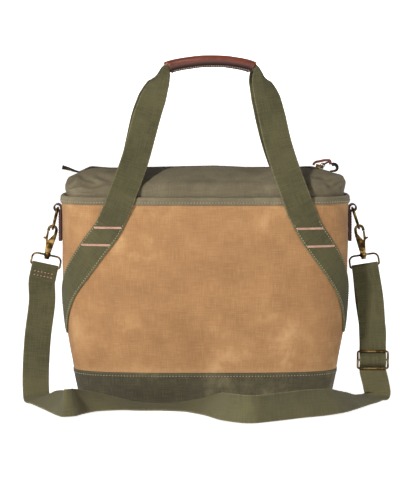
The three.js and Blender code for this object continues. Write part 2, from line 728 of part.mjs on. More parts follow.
// Leather side tab: a doubled strip that closes round the D-ring's bar.
function sideTab() {
  const { wide, thick, foot, loopRadius, hole, loopZ } = TAB;
  const centre = GAP + loopRadius;
  const neck = Math.acos((thick - loopRadius) / loopRadius);
  const shape = new THREE.Shape();
  shape.moveTo(GAP, foot);
  shape.lineTo(GAP + thick, foot);
  shape.absarc(centre, loopZ, loopRadius, -neck, Math.PI, false);
  shape.closePath();
  const eye = new THREE.Path();
  eye.absarc(centre, loopZ, hole, 0, 2 * Math.PI, true);
  shape.holes.push(eye);
  const strip = new THREE.ExtrudeGeometry(shape, { depth: wide, bevelEnabled: false, curveSegments: 14 });
  return strip.translate(0, 0, -wide / 2).rotateX(Math.PI / 2);
}

// D-ring, hanging from its bar along Y at the origin.
function dRing() {
  const { half, side, corner, wire } = D_RING;
  const outline = [
    ...arcOf(half - corner, -corner, corner, 90, 0, 3),
    ...arcOf(0, -side, half, 0, -180, 10),
    ...arcOf(corner - half, -corner, corner, 180, 90, 3),
  ];
  return wireOf(outline, wire, 6, true).rotateZ(Math.PI / 2);
}

// Hook body with its slotted cheeks, swivel stem and rivet head.
function claspBody() {
  const plate = solidOf(plateOf(CLASP_OUTLINE, CLASP.thick));
  const slotTop = HOOK.centreW;
  const slotLong = 2 * HOOK.centreW;
  const slot = new THREE.BoxGeometry(slotLong, CLASP.slot, slotTop - CLASP.slotFloor);
  slot.translate(CLASP.slotSide + slotLong / 2, 0, (slotTop + CLASP.slotFloor) / 2);
  const bore = pinOf(GATE.pivotU, GATE.pivotW, GATE.bore, 2 * CLASP.thick);
  const bend = [
    new THREE.Vector3(-HOOK.radius, 0, HOOK.centreW - 4),
    ...arcOf(0, HOOK.centreW, HOOK.radius, 180, 0, 8),
    new THREE.Vector3(HOOK.radius, 0, HOOK.tipW),
  ];
  const hook = solidOf(wireOf(bend, HOOK.wire, 8, false));
  const stem = solidOf(pinOf(0, 3, CLASP.stem, 10, true));
  const head = solidOf(pinOf(0, -CLASP.headTall / 2 - GAP, CLASP.head, CLASP.headTall, true));
  return geometryOf(plate.subtract(solidOf(slot)).subtract(solidOf(bore)).add(hook).add(stem).add(head));
}

// Sprung lever with its thumb nub and pivot pin.
function claspGate() {
  const lever = solidOf(plateOf(GATE_OUTLINE, GATE.thick));
  return geometryOf(lever.add(solidOf(pinOf(GATE.pivotU, GATE.pivotW, GATE.pin, CLASP.thick))));
}

// Swivel loop: a wire frame with a bored boss in its top bar.
function swivelLoop() {
  const { half, top, bar, topCorner, barCorner, wire } = LOOP;
  const frame = solidOf(wireOf(frameOf(half, top, bar, topCorner, barCorner, 4), wire, 6, true));
  const boss = solidOf(pinOf(0, BOSS.tall / 2, BOSS.outer, BOSS.tall, true));
  const bore = solidOf(pinOf(0, BOSS.tall / 2, BOSS.bore, 2 * BOSS.tall, true));
  return geometryOf(frame.add(boss).subtract(bore));
}

// One side's tab, D-ring, clasp, gate and loop, built outwards along +X and turned to its side.
function sideHardware({ name, turn, bossX, bossZ, lean }) {
  const side = new THREE.Group();
  side.rotation.z = turn;
  bag.add(side);
  const wallX = lookUp(PROFILE, 'z', TAB.loopZ, 'halfWidth');
  const tab = addPiece(`tab_${name}`, sideTab(), 'tab', side);
  tab.position.x = wallX;

  const angle = THREE.MathUtils.degToRad(lean);
  const clasp = new THREE.Group();
  clasp.position.set(bossX, 0, bossZ);
  clasp.rotation.y = -angle;
  side.add(clasp);
  addPiece(`clasp_${name}`, claspBody(), 'brass', clasp);
  addPiece(`gate_${name}`, claspGate(), 'brass', clasp);
  addPiece(`loop_${name}`, swivelLoop(), 'brass', clasp);

  const barX = wallX + GAP + TAB.loopRadius;
  const barZ = TAB.loopZ - (TAB.hole - D_RING.wire - GAP);
  const hang = HOOK.centreW + HOOK.radius - HOOK.wire - GAP - D_RING.wire;
  const footX = bossX - hang * Math.sin(angle);
  const footZ = bossZ + hang * Math.cos(angle);
  const ring = addPiece(`d_ring_${name}`, dRing(), 'brass', side);
  ring.position.set(barX, 0, barZ);
  ring.rotation.y = -Math.atan2(footX - barX, barZ - footZ);
}

// Stations of webbing that turns round a bar, from one angle to another in the bar's own plane.
function turnRound(bar, up, across, radius, from, to, steps) {
  return Array.from({ length: steps + 1 }, (_, i) => {
    const angle = THREE.MathUtils.degToRad(THREE.MathUtils.lerp(from, to, i / steps));
    const at = bar.clone().addScaledVector(up, radius * Math.sin(angle));
    at.y += radius * Math.cos(angle);
    return { at, across };
  });
}

// A station beside a bar, down along the strap and off to one side of it.
function beside(bar, up, across, down, y) {
  const at = bar.clone().addScaledVector(up, -down);
  at.y += y;
  return { at, across };
}

// Stations written out by hand.
function stationsOf(rows) {
  return rows.map(({ x, y, z, across }) => ({
    at: new THREE.Vector3(x, y, z),
    across: new THREE.Vector3(...across).normalize(),
  }));
}

// Stations on the floor, from the place of the strap's lower edge and how far it leans up.
function floorStations() {
  return FLOOR_RUN.map(({ x, y, lean }, i) => {
    const before = FLOOR_RUN[Math.max(i - 1, 0)];
    const after = FLOOR_RUN[Math.min(i + 1, FLOOR_RUN.length - 1)];
    const along = new THREE.Vector2(after.x - before.x, after.y - before.y).normalize();
    const angle = THREE.MathUtils.degToRad(lean);
    const across = new THREE.Vector3(-along.y * Math.cos(angle), along.x * Math.cos(angle), Math.sin(angle));
    const clear = STRAP.rest + (STRAP.thick / 2) * Math.abs(Math.cos(angle));
    return { at: new THREE.Vector3(x, y, clear).addScaledVector(across, STRAP.half), across };
  });
}

// The bar of one side's swivel loop, with its upright and crosswise directions.
function loopBar({ sign, bossX, bossZ, lean }) {
  const angle = THREE.MathUtils.degToRad(lean);
  const up = new THREE.Vector3(-sign * Math.sin(angle), 0, Math.cos(angle));
  const bar = new THREE.Vector3(sign * bossX, 0, bossZ).addScaledVector(up, LOOP.bar);
  const across = new THREE.Vector3(-sign * Math.cos(angle), 0, -Math.sin(angle));
  return { bar, up, across };
}

// All stations of the shoulder strap, from its sewn left end to the end at the slider's middle bar.
function strapStations() {
  const round = LOOP.wire + GAP + STRAP.thick / 2;
  const left = loopBar(SIDES[0]);
  const right = loopBar(SIDES[1]);
  const glide = new THREE.Vector3(GLIDE.x, GLIDE.y, GLIDE.z);
  const level = new THREE.Vector3(0, 0, 1);
  const inward = new THREE.Vector3(-1, 0, 0);
  const near = GLIDE.wire + 2 * GAP + STRAP.thick / 2;
  const over = near + STRAP.thick + GLIDE_FIT.layer;
  const behind = near + STRAP.thick + GLIDE_FIT.layer;
  const atGlide = (down, y) => beside(glide, level, inward, down, y);
  return [
    beside(left.bar, left.up, left.across, STRAP.tail, GLIDE_FIT.tail),
    beside(left.bar, left.up, left.across, STRAP.below, round),
    ...turnRound(left.bar, left.up, left.across, round, 0, 180, 6),
    beside(left.bar, left.up, left.across, STRAP.below, -round),
    beside(left.bar, left.up, left.across, STRAP.tail + 1, -GLIDE_FIT.closed),
    ...stationsOf(LEFT_DROP),
    ...floorStations(),
    ...stationsOf(RIGHT_RISE),
    atGlide(GLIDE.tall + GLIDE_FIT.leave, near - GLIDE_WEAVE.ease),
    atGlide(GLIDE.tall, near + GLIDE_WEAVE.slack),
    atGlide(GLIDE.tall - GLIDE_WEAVE.lip, near),
    atGlide(GLIDE_WEAVE.through, GLIDE_WEAVE.ease),
    atGlide(GLIDE_WEAVE.crown, GLIDE_WEAVE.dip - over),
    atGlide(0, -over),
    atGlide(-GLIDE_WEAVE.crown, GLIDE_WEAVE.dip - over),
    atGlide(-GLIDE_WEAVE.through, GLIDE_WEAVE.ease),
    atGlide(GLIDE_WEAVE.lip - GLIDE.tall, near),
    atGlide(-GLIDE.tall, near + GLIDE_WEAVE.slack),
    atGlide(-GLIDE.tall - 2 * GLIDE_FIT.leave, near),
    beside(right.bar, right.up, right.across, GLIDE_FIT.front, -GLIDE_FIT.apart),
    beside(right.bar, right.up, right.across, STRAP.below, -round - GLIDE_WEAVE.slack),
    ...turnRound(right.bar, right.up, right.across, round, 180, 0, 6),
    beside(right.bar, right.up, right.across, STRAP.below, round + GAP),
    ...stationsOf(BACK_LAYER),
    atGlide(-GLIDE.tall - GLIDE_WEAVE.crown, behind + GLIDE_FIT.closed),
    atGlide(-GLIDE.tall, behind + GLIDE_WEAVE.stand),
    atGlide(-GLIDE_WEAVE.crown, near + GLIDE_WEAVE.stand),
    ...turnRound(glide, level, inward, near, 0, -180, 5),
    atGlide(-GLIDE_WEAVE.stand, -near),
  ];
}

// Webbing of one width through its stations, with more steps where they lie far apart.
function strapRibbon(stations) {
  const curve = new THREE.CatmullRomCurve3(stations.map(({ at }) => at), false, 'centripetal');
  const last = stations.length - 1;
  const fine = [];
  for (let i = 0; i < last; i += 1) {
    const far = stations[i].at.distanceTo(stations[i + 1].at) / STRAP.longestStep;
    const twist = THREE.MathUtils.radToDeg(stations[i].across.angleTo(stations[i + 1].across));
    const parts = Math.ceil(Math.max(far, twist / STRAP.mostTwist));
    for (let k = 0; k < parts; k += 1) {
      const across = stations[i].across.clone().lerp(stations[i + 1].across, k / parts);
      fine.push({ share: (i + k / parts) / last, across });
    }
  }
  fine.push({ share: 1, across: stations[last].across });
  const rings = fine.map(({ share, across }) => {
    const at = curve.getPoint(share);
    const along = curve.getTangent(share);
    const wide = across.clone().addScaledVector(along, -across.dot(along)).setLength(STRAP.half);
    const out = along.clone().cross(wide).setLength(STRAP.thick / 2);
    return [
      at.clone().add(wide).add(out),
      at.clone().sub(wide).add(out),
      at.clone().sub(wide).sub(out),
      at.clone().add(wide).sub(out),
    ];
  });
  return loft(rings, false, true);
}

// Tri-glide slider: a wire frame with a middle bar.
function strapSlider() {
  const { half, tall, wire, corner } = GLIDE;
  const frame = solidOf(wireOf(frameOf(half, tall, -tall, corner, corner, 3), wire, 6, true));
  const middle = new THREE.CylinderGeometry(wire, wire, 2 * half, 6).rotateZ(Math.PI / 2);
  return geometryOf(frame.add(solidOf(middle)));
}

addPiece('body_panel', bodyPanel(), 'tan');
addPiece('base_boot', baseBoot(), 'base');
addPiece('rim_binding', rimBinding(), 'olive');
addPiece('collar', collar(), 'olive');
addPiece('zip_tape', zipTape(), 'zip');
zipTails();
zipSlider();
addPiece('handle_front', loft(handleRings(), false, true), 'webbing');
addPiece('handle_back', loft(handleRings().map(toBack), false, true), 'webbing');
addPiece('grip_front', loft(gripRings(), true), 'grip');
addPiece('grip_back', loft(gripRings().map(toBack), true), 'grip');
SIDES.forEach(sideHardware);
addPiece('shoulder_strap', strapRibbon(strapStations()), 'webbing');
addPiece('strap_slider', strapSlider(), 'brass').position.set(GLIDE.x, GLIDE.y, GLIDE.z);

export default bag;
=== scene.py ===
"""Looks of an insulated tote bag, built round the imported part.

The pieces are in metres with +Z up and the front towards -Y. Tables and sizes are in millimetres,
as they are on the part's own drawing, and are scaled once, where a mesh is made.
"""

import logging
import math
from dataclasses import dataclass, field
from enum import Enum
from typing import Mapping, Optional, Sequence, Union

import bmesh
import bpy
import numpy as np
from mathutils import Matrix, Vector, noise


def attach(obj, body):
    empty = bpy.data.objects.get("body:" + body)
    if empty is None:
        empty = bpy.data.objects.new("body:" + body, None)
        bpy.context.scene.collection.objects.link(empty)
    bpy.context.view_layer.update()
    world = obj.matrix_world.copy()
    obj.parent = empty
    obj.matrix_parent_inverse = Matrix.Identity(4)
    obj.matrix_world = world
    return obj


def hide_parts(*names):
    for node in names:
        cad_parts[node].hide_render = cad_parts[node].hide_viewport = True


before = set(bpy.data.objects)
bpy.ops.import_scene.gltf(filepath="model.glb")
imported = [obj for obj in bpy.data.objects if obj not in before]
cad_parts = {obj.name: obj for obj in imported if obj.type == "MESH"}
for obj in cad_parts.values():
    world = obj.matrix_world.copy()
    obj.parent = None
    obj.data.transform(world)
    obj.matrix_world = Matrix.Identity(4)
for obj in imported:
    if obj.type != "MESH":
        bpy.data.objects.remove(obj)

Array = np.ndarray
Key = Union[str, int]
Material = bpy.types.Material
Object = bpy.types.Object
Value = Union[float, "Wire"]
Colour = tuple[float, float, float, float]
Pair = tuple[float, float]
Triple = tuple[float, float, float]
Row = tuple[float, ...]
# rows of numbers, whose columns a comment above the table names
Table = tuple[Row, ...]
# a share, and the two values between which it grows from none to all
Graded = tuple[float, float, float]
# points, their outward directions and the length all round
Outline = tuple[Array, Array, float]
# a bar's middle, the direction up and the direction across the strap on it
Bar = tuple[Array, Array, Array]

LOG = logging.getLogger("tote")
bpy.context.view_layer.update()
MM = 0.001
TO_METRES = Matrix.Scale(MM, 4)
WELD = 1e-7
UV_NAME = "UVMap"
# the attribute holds wear, and on the grip, the binding's top and the strap on the floor also painted
# highlight, and below zero painted shade
WEAR_NAME = "wear"
WHITE = (1.0, 1.0, 1.0, 1.0)
BACK, UP = np.array([0.0, 1.0, 0.0]), np.array([0.0, 0.0, 1.0])


class Body(str, Enum):
    """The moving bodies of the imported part."""

    BAG = "bag"
    GATE_LEFT = "gate_left"
    GATE_RIGHT = "gate_right"


class Slot(str, Enum):
    """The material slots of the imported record."""

    TAN = "tan_canvas"
    BASE = "base_canvas"
    OLIVE = "olive_canvas"
    WEBBING = "webbing"
    GRIP = "grip_leather"
    TAB = "tab_leather"
    ZIP = "zip"
    BRASS = "antique_brass"


class Side(Enum):
    """The front or back of the bag, as the sign that mirrors a piece there."""

    FRONT = 1
    BACK = -1


def tone(*screen: int) -> Colour:
    """A screen's red, green and blue of 0 to 255 as the linear colour that a shader reads."""
    parts = (c / 255 for c in screen)
    return (*(c / 12.92 if c <= 0.04045 else ((c + 0.055) / 1.055) ** 2.4 for c in parts), 1.0)


class Wire:
    """An output socket of a material, which takes part in sums."""

    def __init__(self, shader: "Shader", socket: bpy.types.NodeSocket) -> None:
        """Keeps the material and the socket."""
        self.shader, self.socket = shader, socket

    def __add__(self, other: Value) -> "Wire":
        """This value plus another."""
        return self.shader.math("ADD", self, other)

    def __sub__(self, other: Value) -> "Wire":
        """This value less another."""
        return self.shader.math("SUBTRACT", self, other)

    def __rsub__(self, other: Value) -> "Wire":
        """Another value less this one."""
        return self.shader.math("SUBTRACT", other, self)

    def __mul__(self, other: Value) -> "Wire":
        """This value times another."""
        return self.shader.math("MULTIPLY", self, other)

    __radd__, __rmul__ = __add__, __mul__

    def __abs__(self) -> "Wire":
        """The value without its sign."""
        return self.shader.math("ABSOLUTE", self)

    def sine(self) -> "Wire":
        """The sine of this value in radians."""
        return self.shader.math("SINE", self)

    def between(self, low: float, high: float) -> "Wire":
        """A smooth step, from 0 where this value is low to 1 where it is high."""
        inputs = {0: self, 1: low, 2: high}
        return self.shader.node("ShaderNodeMapRange", inputs, interpolation_type="SMOOTHSTEP")


class Shader:
    """One material and the nodes that feed its surface."""

    def __init__(self, name: str) -> None:
        """Makes the material.

        Args:
            name: the material's name.
        """
        self.material = bpy.data.materials.new(name)
        self.material.use_nodes = True
        self.tree = self.material.node_tree
        self.surface = next(n for n in self.tree.nodes if n.type == "BSDF_PRINCIPLED")

    def feed(self, socket: bpy.types.NodeSocket, value: object) -> None:
        """Gives a socket a link or a plain value.

        Args:
            socket: the socket.
            value: a wire, or what the socket itself holds.
        """
        if isinstance(value, Wire):
            self.tree.links.new(value.socket, socket)
        else:
            socket.default_value = value

    def node(self, kind: str, inputs: Mapping[Key, object], output: Key = 0, **settings: object) -> Wire:
        """Adds any node.

        Args:
            kind: the node's type.
            inputs: values or links of its sockets.
            output: the output that is handed back.
            settings: its own settings, set first.

        Returns:
            The chosen output.
        """
        made = self.tree.nodes.new(kind)
        for key, value in settings.items():
            setattr(made, key, value)
        for key, value in inputs.items():
            self.feed(made.inputs[key], value)
        return Wire(self, made.outputs[output])

    def math(self, operation: str, first: Value, second: Value = 0.0) -> Wire:
        """One Math node on one or two values."""
        return self.node("ShaderNodeMath", {0: first, 1: second}, operation=operation)

    def mix(self, share: Value, low: object, high: object) -> Wire:
        """One colour turning into another by a share from 0 to 1."""
        inputs = {0: share, 6: low, 7: high}
        return self.node("ShaderNodeMix", inputs, 2, data_type="RGBA", clamp_factor=True)

    def place(self) -> Wire:
        """The point of the object, in metres."""
        return self.node("ShaderNodeTexCoord", {}, "Object")

    def lengths(self) -> tuple[Wire, Wire]:
        """The piece's own map in metres.

        Returns:
            The distances across and along the cloth.
        """
        at = self.node("ShaderNodeUVMap", {}, uv_map=UV_NAME)
        across, along = (self.node("ShaderNodeSeparateXYZ", {0: at}, axis) for axis in "XY")
        return across, along

    def vector(self, x: Value, y: Value, z: Value = 0.0) -> Wire:
        """A vector of three values."""
        return self.node("ShaderNodeCombineXYZ", {0: x, 1: y, 2: z})

    def cloud(self, at: Wire, scale: float, detail: float = 3.0, rough: float = 0.55) -> Wire:
        """Soft noise round 0.5, by its patches to a metre, its finer layers and their strength."""
        inputs = {"Vector": at, "Scale": scale, "Detail": detail, "Roughness": rough}
        return self.node("ShaderNodeTexNoise", inputs)

    def yarns(self, across: Wire, along: Wire, seed: float = 0.0) -> Wire:
        """Noise that is drawn out along single yarns of a cloth."""
        return self.cloud(self.vector(across, along, seed), 1.0, 2.0)

    def cells(self, at: Wire, scale: float) -> Wire:
        """The distance to the nearest of many scattered points."""
        return self.node("ShaderNodeTexVoronoi", {"Vector": at, "Scale": scale})

    def wear_and_painted_light(self) -> Wire:
        """How worn the piece is at a point, from its own attribute, which also holds painted highlight and,
        below zero, painted shade.
        """
        return self.node("ShaderNodeAttribute", {}, "Fac", attribute_name=WEAR_NAME)

    def relief(self, height: Wire, depth: float, strength: float) -> Wire:
        """Bump from a height of 0 to 1, with the depth in metres of its full height."""
        return self.node("ShaderNodeBump", {"Strength": strength, "Distance": depth, "Height": height})

    def finish(self, **sockets: object) -> Material:
        """Feeds the surface's sockets.

        Args:
            sockets: values or links by socket name, with spaces written as underscores.

        Returns:
            The finished material.
        """
        for name, value in sockets.items():
            self.feed(self.surface.inputs[name.replace("_", " ")], value)
        return self.material


@dataclass(frozen=True)
class Finish:
    """A named finish, with the tones of its shaded and its plain places."""

    name: str
    deep: Colour
    body: Colour


@dataclass(frozen=True)
class WaxedCanvas(Finish):
    """Plain-woven cotton duck with wax in it, which scuffs pale."""

    pale: Colour
    scuff: float = 0.5
    thread: float = 0.0011
    roughness: float = 0.8

    def make(self) -> Material:
        """Builds the material.

        Returns:
            The material.
        """
        s = Shader(self.name)
        at = s.place()
        across, along = s.lengths()
        turn = 2 * math.pi / self.thread
        weave = (across * turn).sine() * (along * turn).sine() * 0.5 + 0.5
        broad = s.cloud(at, 8.0)
        patch = s.cloud(at, 26.0, 5.0, 0.6)
        grain = s.cloud(at, 420.0, 2.0)
        slub = s.yarns(across * 45.0, along * 900.0)
        warp = s.yarns(across * 900.0, along * 45.0, 3.0)
        shade = broad * 0.36 + patch * 0.34 + slub * 0.13 + warp * 0.13 + grain * 0.1
        ground = s.mix(shade.between(0.37, 0.69), self.deep, self.body)
        rubbed = patch.between(0.48, 0.72) * broad.between(0.42, 0.64) * self.scuff
        fibre = (slub + warp).between(0.9, 1.3) * 0.26 * self.scuff
        height = weave * 0.55 + slub * 0.3 + warp * 0.3 + grain * 0.3
        return s.finish(
            Base_Color=s.mix(rubbed + fibre + s.wear_and_painted_light() * self.scuff, ground, self.pale),
            Roughness=self.roughness + patch * 0.16 - 0.08,
            Specular_IOR_Level=0.3,
            Normal=s.relief(height, 0.0005, 0.7),
        )


@dataclass(frozen=True)
class CottonWebbing(Finish):
    """Heavy cotton tape with fine cross ribs, painted shade in their grooves, and a selvedge paler with a
    painted highlight.
    """

    pale: Colour
    half: float
    rib: float = 0.0017

    def make(self) -> Material:
        """Builds the material.

        Returns:
            The material.
        """
        s = Shader(self.name)
        across, along = s.lengths()
        turn = 2 * math.pi / self.rib
        ribs = (along * turn).sine() * (across * turn * 0.8).sine() * 0.5 + 0.5
        yarn = s.yarns(across * 900.0, along * 40.0)
        pick = s.yarns(across * 40.0, along * 900.0, 5.0)
        broad = s.cloud(s.place(), 18.0, 4.0)
        shade = broad * 0.34 + yarn * 0.3 + pick * 0.36
        ground = s.mix(shade.between(0.36, 0.62), self.deep, self.body)
        # painted shade: darker in the grooves between the ribs
        groove_shaded = s.mix(ribs.between(0.1, 0.6), s.mix(0.5, ground, self.deep), ground)
        # painted highlight along the selvedge, with the wear attribute added
        edge = abs(across).between(self.half - 0.0016, self.half - 0.0004)
        edge_highlight_and_wear = edge * pick.between(0.3, 0.62) * 0.42 + s.wear_and_painted_light() * 0.5
        return s.finish(
            Base_Color=s.mix(edge_highlight_and_wear, groove_shaded, self.pale),
            Roughness=0.86 + broad * 0.1 - 0.05,
            Specular_IOR_Level=0.12,
            Sheen_Weight=0.04,
            Normal=s.relief(ribs * 0.6 + pick * 0.4 + yarn * 0.3, 0.0006, 0.8),
        )


@dataclass(frozen=True)
class Leather(Finish):
    """Oiled leather with a fine grain, pale where it is rubbed and where a highlight is painted, dark where
    shade is painted.
    """

    pale: Colour
    roughness: float
    gloss: float

    def make(self) -> Material:
        """Builds the material.

        Returns:
            The material.
        """
        s = Shader(self.name)
        at, wear_and_painted_light = s.place(), s.wear_and_painted_light()
        grain = s.cells(at, 850.0).between(0.05, 0.6)
        pores = s.cells(at, 2100.0).between(0.05, 0.5)
        broad = s.cloud(at, 34.0, 4.0)
        streak = s.cloud(at, 130.0, 4.0)
        shade = broad * 0.55 + streak * 0.3 + grain * 0.15
        ground = s.mix(shade.between(0.34, 0.62), self.deep, self.body)
        # the attribute gives wear, and over the grip's top a painted highlight
        rubbed = wear_and_painted_light * 0.7 + streak.between(0.56, 0.74) * 0.3
        # below zero the attribute gives painted shade, which darkens the grip's underside
        painted_shade = (wear_and_painted_light * -1.0).between(0.0, 1.0)
        return s.finish(
            Base_Color=s.mix(painted_shade, s.mix(rubbed, ground, self.pale), self.deep),
            Roughness=self.roughness + broad * 0.24 - 0.12,
            Specular_IOR_Level=0.28,
            Coat_Weight=self.gloss,
            Coat_Roughness=0.3,
            Normal=s.relief(grain * 0.7 + pores * 0.3, 0.00025, 0.45),
        )


@dataclass(frozen=True)
class AgedBrass(Finish):
    """Cast brass with a dark patina, brighter in patches."""

    bright: Colour
    patina: float

    def make(self) -> Material:
        """Builds the material.

        Returns:
            The material.
        """
        s = Shader(self.name)
        at = s.place()
        broad = s.cloud(at, 120.0, 4.0, 0.6)
        pits = s.cloud(at, 900.0, 3.0, 0.6)
        stain = (broad * 0.7 + pits * 0.3).between(0.4 + 0.2 * self.patina, 0.4)
        metal = s.mix(broad.between(0.45, 0.7), self.body, self.bright)
        return s.finish(
            Base_Color=s.mix(stain * self.patina, metal, self.deep),
            Metallic=1.0,
            Roughness=0.34 + stain * 0.22 + pits * 0.1,
            Normal=s.relief(pits, 0.00012, 0.35),
        )


@dataclass(frozen=True)
class SewingThread(Finish):
    """Twisted cotton thread."""

    def make(self) -> Material:
        """Builds the material.

        Returns:
            The material.
        """
        s = Shader(self.name)
        at = s.place()
        ply, fade = s.cloud(at, 1600.0, 2.0), s.cloud(at, 60.0, 2.0)
        return s.finish(
            Base_Color=s.mix((ply * 0.6 + fade * 0.4).between(0.35, 0.62), self.deep, self.body),
            Roughness=0.8 + ply * 0.1,
            Sheen_Weight=0.15,
            Normal=s.relief(ply, 0.0002, 0.5),
        )


@dataclass(frozen=True)
class StudioPaper(Finish):
    """Matt white backdrop paper, lit through from below or behind."""

    glow: float

    def make(self) -> Material:
        """Builds the material.

        Returns:
            The material.
        """
        s = Shader(self.name)
        tooth = s.cloud(s.place(), 240.0, 2.0)
        return s.finish(
            Base_Color=s.mix(tooth, self.deep, self.body),
            Roughness=0.95,
            Emission_Color=WHITE,
            Emission_Strength=self.glow,
        )


def smoothstep(low: float, high: float, at: Union[float, Array]) -> Array:
    """A smooth rise from 0 at low to 1 at high."""
    share = np.clip((at - low) / (high - low), 0.0, 1.0)
    return share * share * (3 - 2 * share)


def graded(at: Union[float, Array], share: float, low: float, high: float) -> Array:
    """A share that grows smoothly from none at low to all of it at high."""
    return share * smoothstep(low, high, at)


def hump(at: Array, middle: float, wide: float) -> Array:
    """A smooth hump of height 1."""
    return np.exp(-(((at - middle) / wide) ** 2))


def unit(vectors: Array) -> Array:
    """Vectors of length 1 in the same directions."""
    return vectors / np.maximum(np.linalg.norm(vectors, axis=-1, keepdims=True), 1e-12)


def heading(points: Array) -> Array:
    """The direction of a line at each of its points."""
    return unit(np.gradient(points, axis=0))


def travelled(points: Array) -> Array:
    """The distance along a line to each of its points."""
    return np.append(0.0, np.cumsum(np.linalg.norm(np.diff(points, axis=0), axis=1)))


def ripple(points: Array, scale: float, seed: float = 0.0) -> Array:
    """Smooth noise between -1 and 1 in waves of one size; a seed gives another pattern."""
    at = (points / scale + (seed, -seed, 0.0)).reshape(-1, 3)
    return np.array([noise.noise(Vector(p)) for p in at]).reshape(points.shape[:-1])


def waves(points: Array, layers: Table) -> Array:
    """The sum of ripples of several heights, sizes and seeds."""
    return sum(high * ripple(points, scale, seed) for high, scale, seed in layers)


def patchy(points: Array, least: float, more: float, scale: float, seed: float) -> Array:
    """How much of the wear there is in patches of one size, from the least up to the least and more."""
    return least + more * np.abs(ripple(points, scale, seed))


def shares_round(count: int) -> Array:
    """Even shares of the way round the bag, from the back's middle."""
    return np.linspace(-0.5, 0.5, count, endpoint=False)


def cloth_map(around: float, count: int, down: Array) -> Array:
    """The across and along distances of a cloth that goes round the bag."""
    return np.stack(np.meshgrid(np.linspace(-0.5, 0.5, count + 1) * around, down), axis=-1)


def plan(shares: Array, half_width: float, half_depth: float, rounding: float) -> Outline:
    """Points of a rounded rectangle at even steps of its edge.

    Args:
        shares: shares of the way round, from the front's middle towards +X.
        half_width: half its size along X.
        half_depth: half its size along Y.
        rounding: how square it is; 2 is an ellipse.

    Returns:
        The points, their outward directions and the length all round.
    """
    turn = np.mod(shares, 1.0) * 4
    right = turn <= 2
    from_end = np.where(right, turn, 4 - turn)
    front = from_end <= 1
    angle = np.linspace(0, math.pi / 2, 181)
    halves = np.array([half_width, half_depth])
    quarter = halves * np.column_stack([np.sin(angle), np.maximum(np.cos(angle), 0)]) ** (2 / rounding)
    length = travelled(quarter)
    at = length[-1] * np.where(front, from_end, 2 - from_end)
    signs = np.column_stack([np.where(right, 1, -1), np.where(front, -1, 1)])
    points = signs * np.column_stack([np.interp(at, length, column) for column in quarter.T])
    steep = np.sign(points) * np.abs(points / halves) ** (rounding - 1) / halves
    return points, unit(steep), 4 * length[-1]


def spline(points: Array, steps: int) -> Array:
    """A smooth line through points, as a centripetal spline.

    Args:
        points: the points, one to a row, of any number of columns.
        steps: how many parts each span is cut into.

    Returns:
        The finer points.
    """
    held = np.vstack([2 * points[0] - points[1], points, 2 * points[-1] - points[-2]])
    share = np.linspace(0, 1, steps, endpoint=False)[:, None]
    made = []
    for a, b, c, d in zip(held, held[1:], held[2:], held[3:]):
        spans = (b - a, c - b, d - c)
        first, middle, last = (max(np.linalg.norm(span), 1e-6) ** 0.5 for span in spans)
        start = ((b - a) / first - (c - a) / (first + middle) + (c - b) / middle) * middle
        end = ((c - b) / middle - (d - b) / (middle + last) + (d - c) / last) * middle
        two, three = 3 * (c - b) - 2 * start - end, 2 * (b - c) + start + end
        made.append(b + start * share + two * share**2 + three * share**3)
    return np.vstack([*made, points[-1:]])


def even(points: Array, pitch: float) -> Array:
    """Points at even steps of a line.

    Args:
        points: the line, with any other values of its points in further columns.
        pitch: the step.

    Returns:
        The even points, from half a step in.
    """
    length = travelled(points[:, :3])
    count = max(int(length[-1] / pitch), 1)
    at = (np.arange(count) + 0.5) * length[-1] / count
    return np.column_stack([np.interp(at, length, column) for column in points.T])


def arc(x: float, z: float, radius: float, first: float, last: float, steps: int) -> Array:
    """Points of an arc in the X-Z plane, by its centre, radius, end angles in degrees and parts."""
    angle = np.radians(np.linspace(first, last, steps + 1))
    return np.column_stack([x + radius * np.cos(angle), 0 * angle, z + radius * np.sin(angle)])


def placement(axes: Sequence[Array], at: Array) -> Matrix:
    """The matrix of three directions and a place."""
    return Matrix([*np.column_stack([*axes, at]).tolist(), (0, 0, 0, 1)])


def stand(name: str, bm: bmesh.types.BMesh, material: Material) -> Object:
    """Ends a mesh and puts it in the scene.

    Args:
        name: its name.
        bm: the mesh, which is used up.
        material: its finish.

    Returns:
        The object.
    """
    mesh = bpy.data.meshes.new(name)
    bm.to_mesh(mesh)
    bm.free()
    mesh.materials.append(material)
    obj = bpy.data.objects.new(name, mesh)
    bpy.context.scene.collection.objects.link(obj)
    return obj


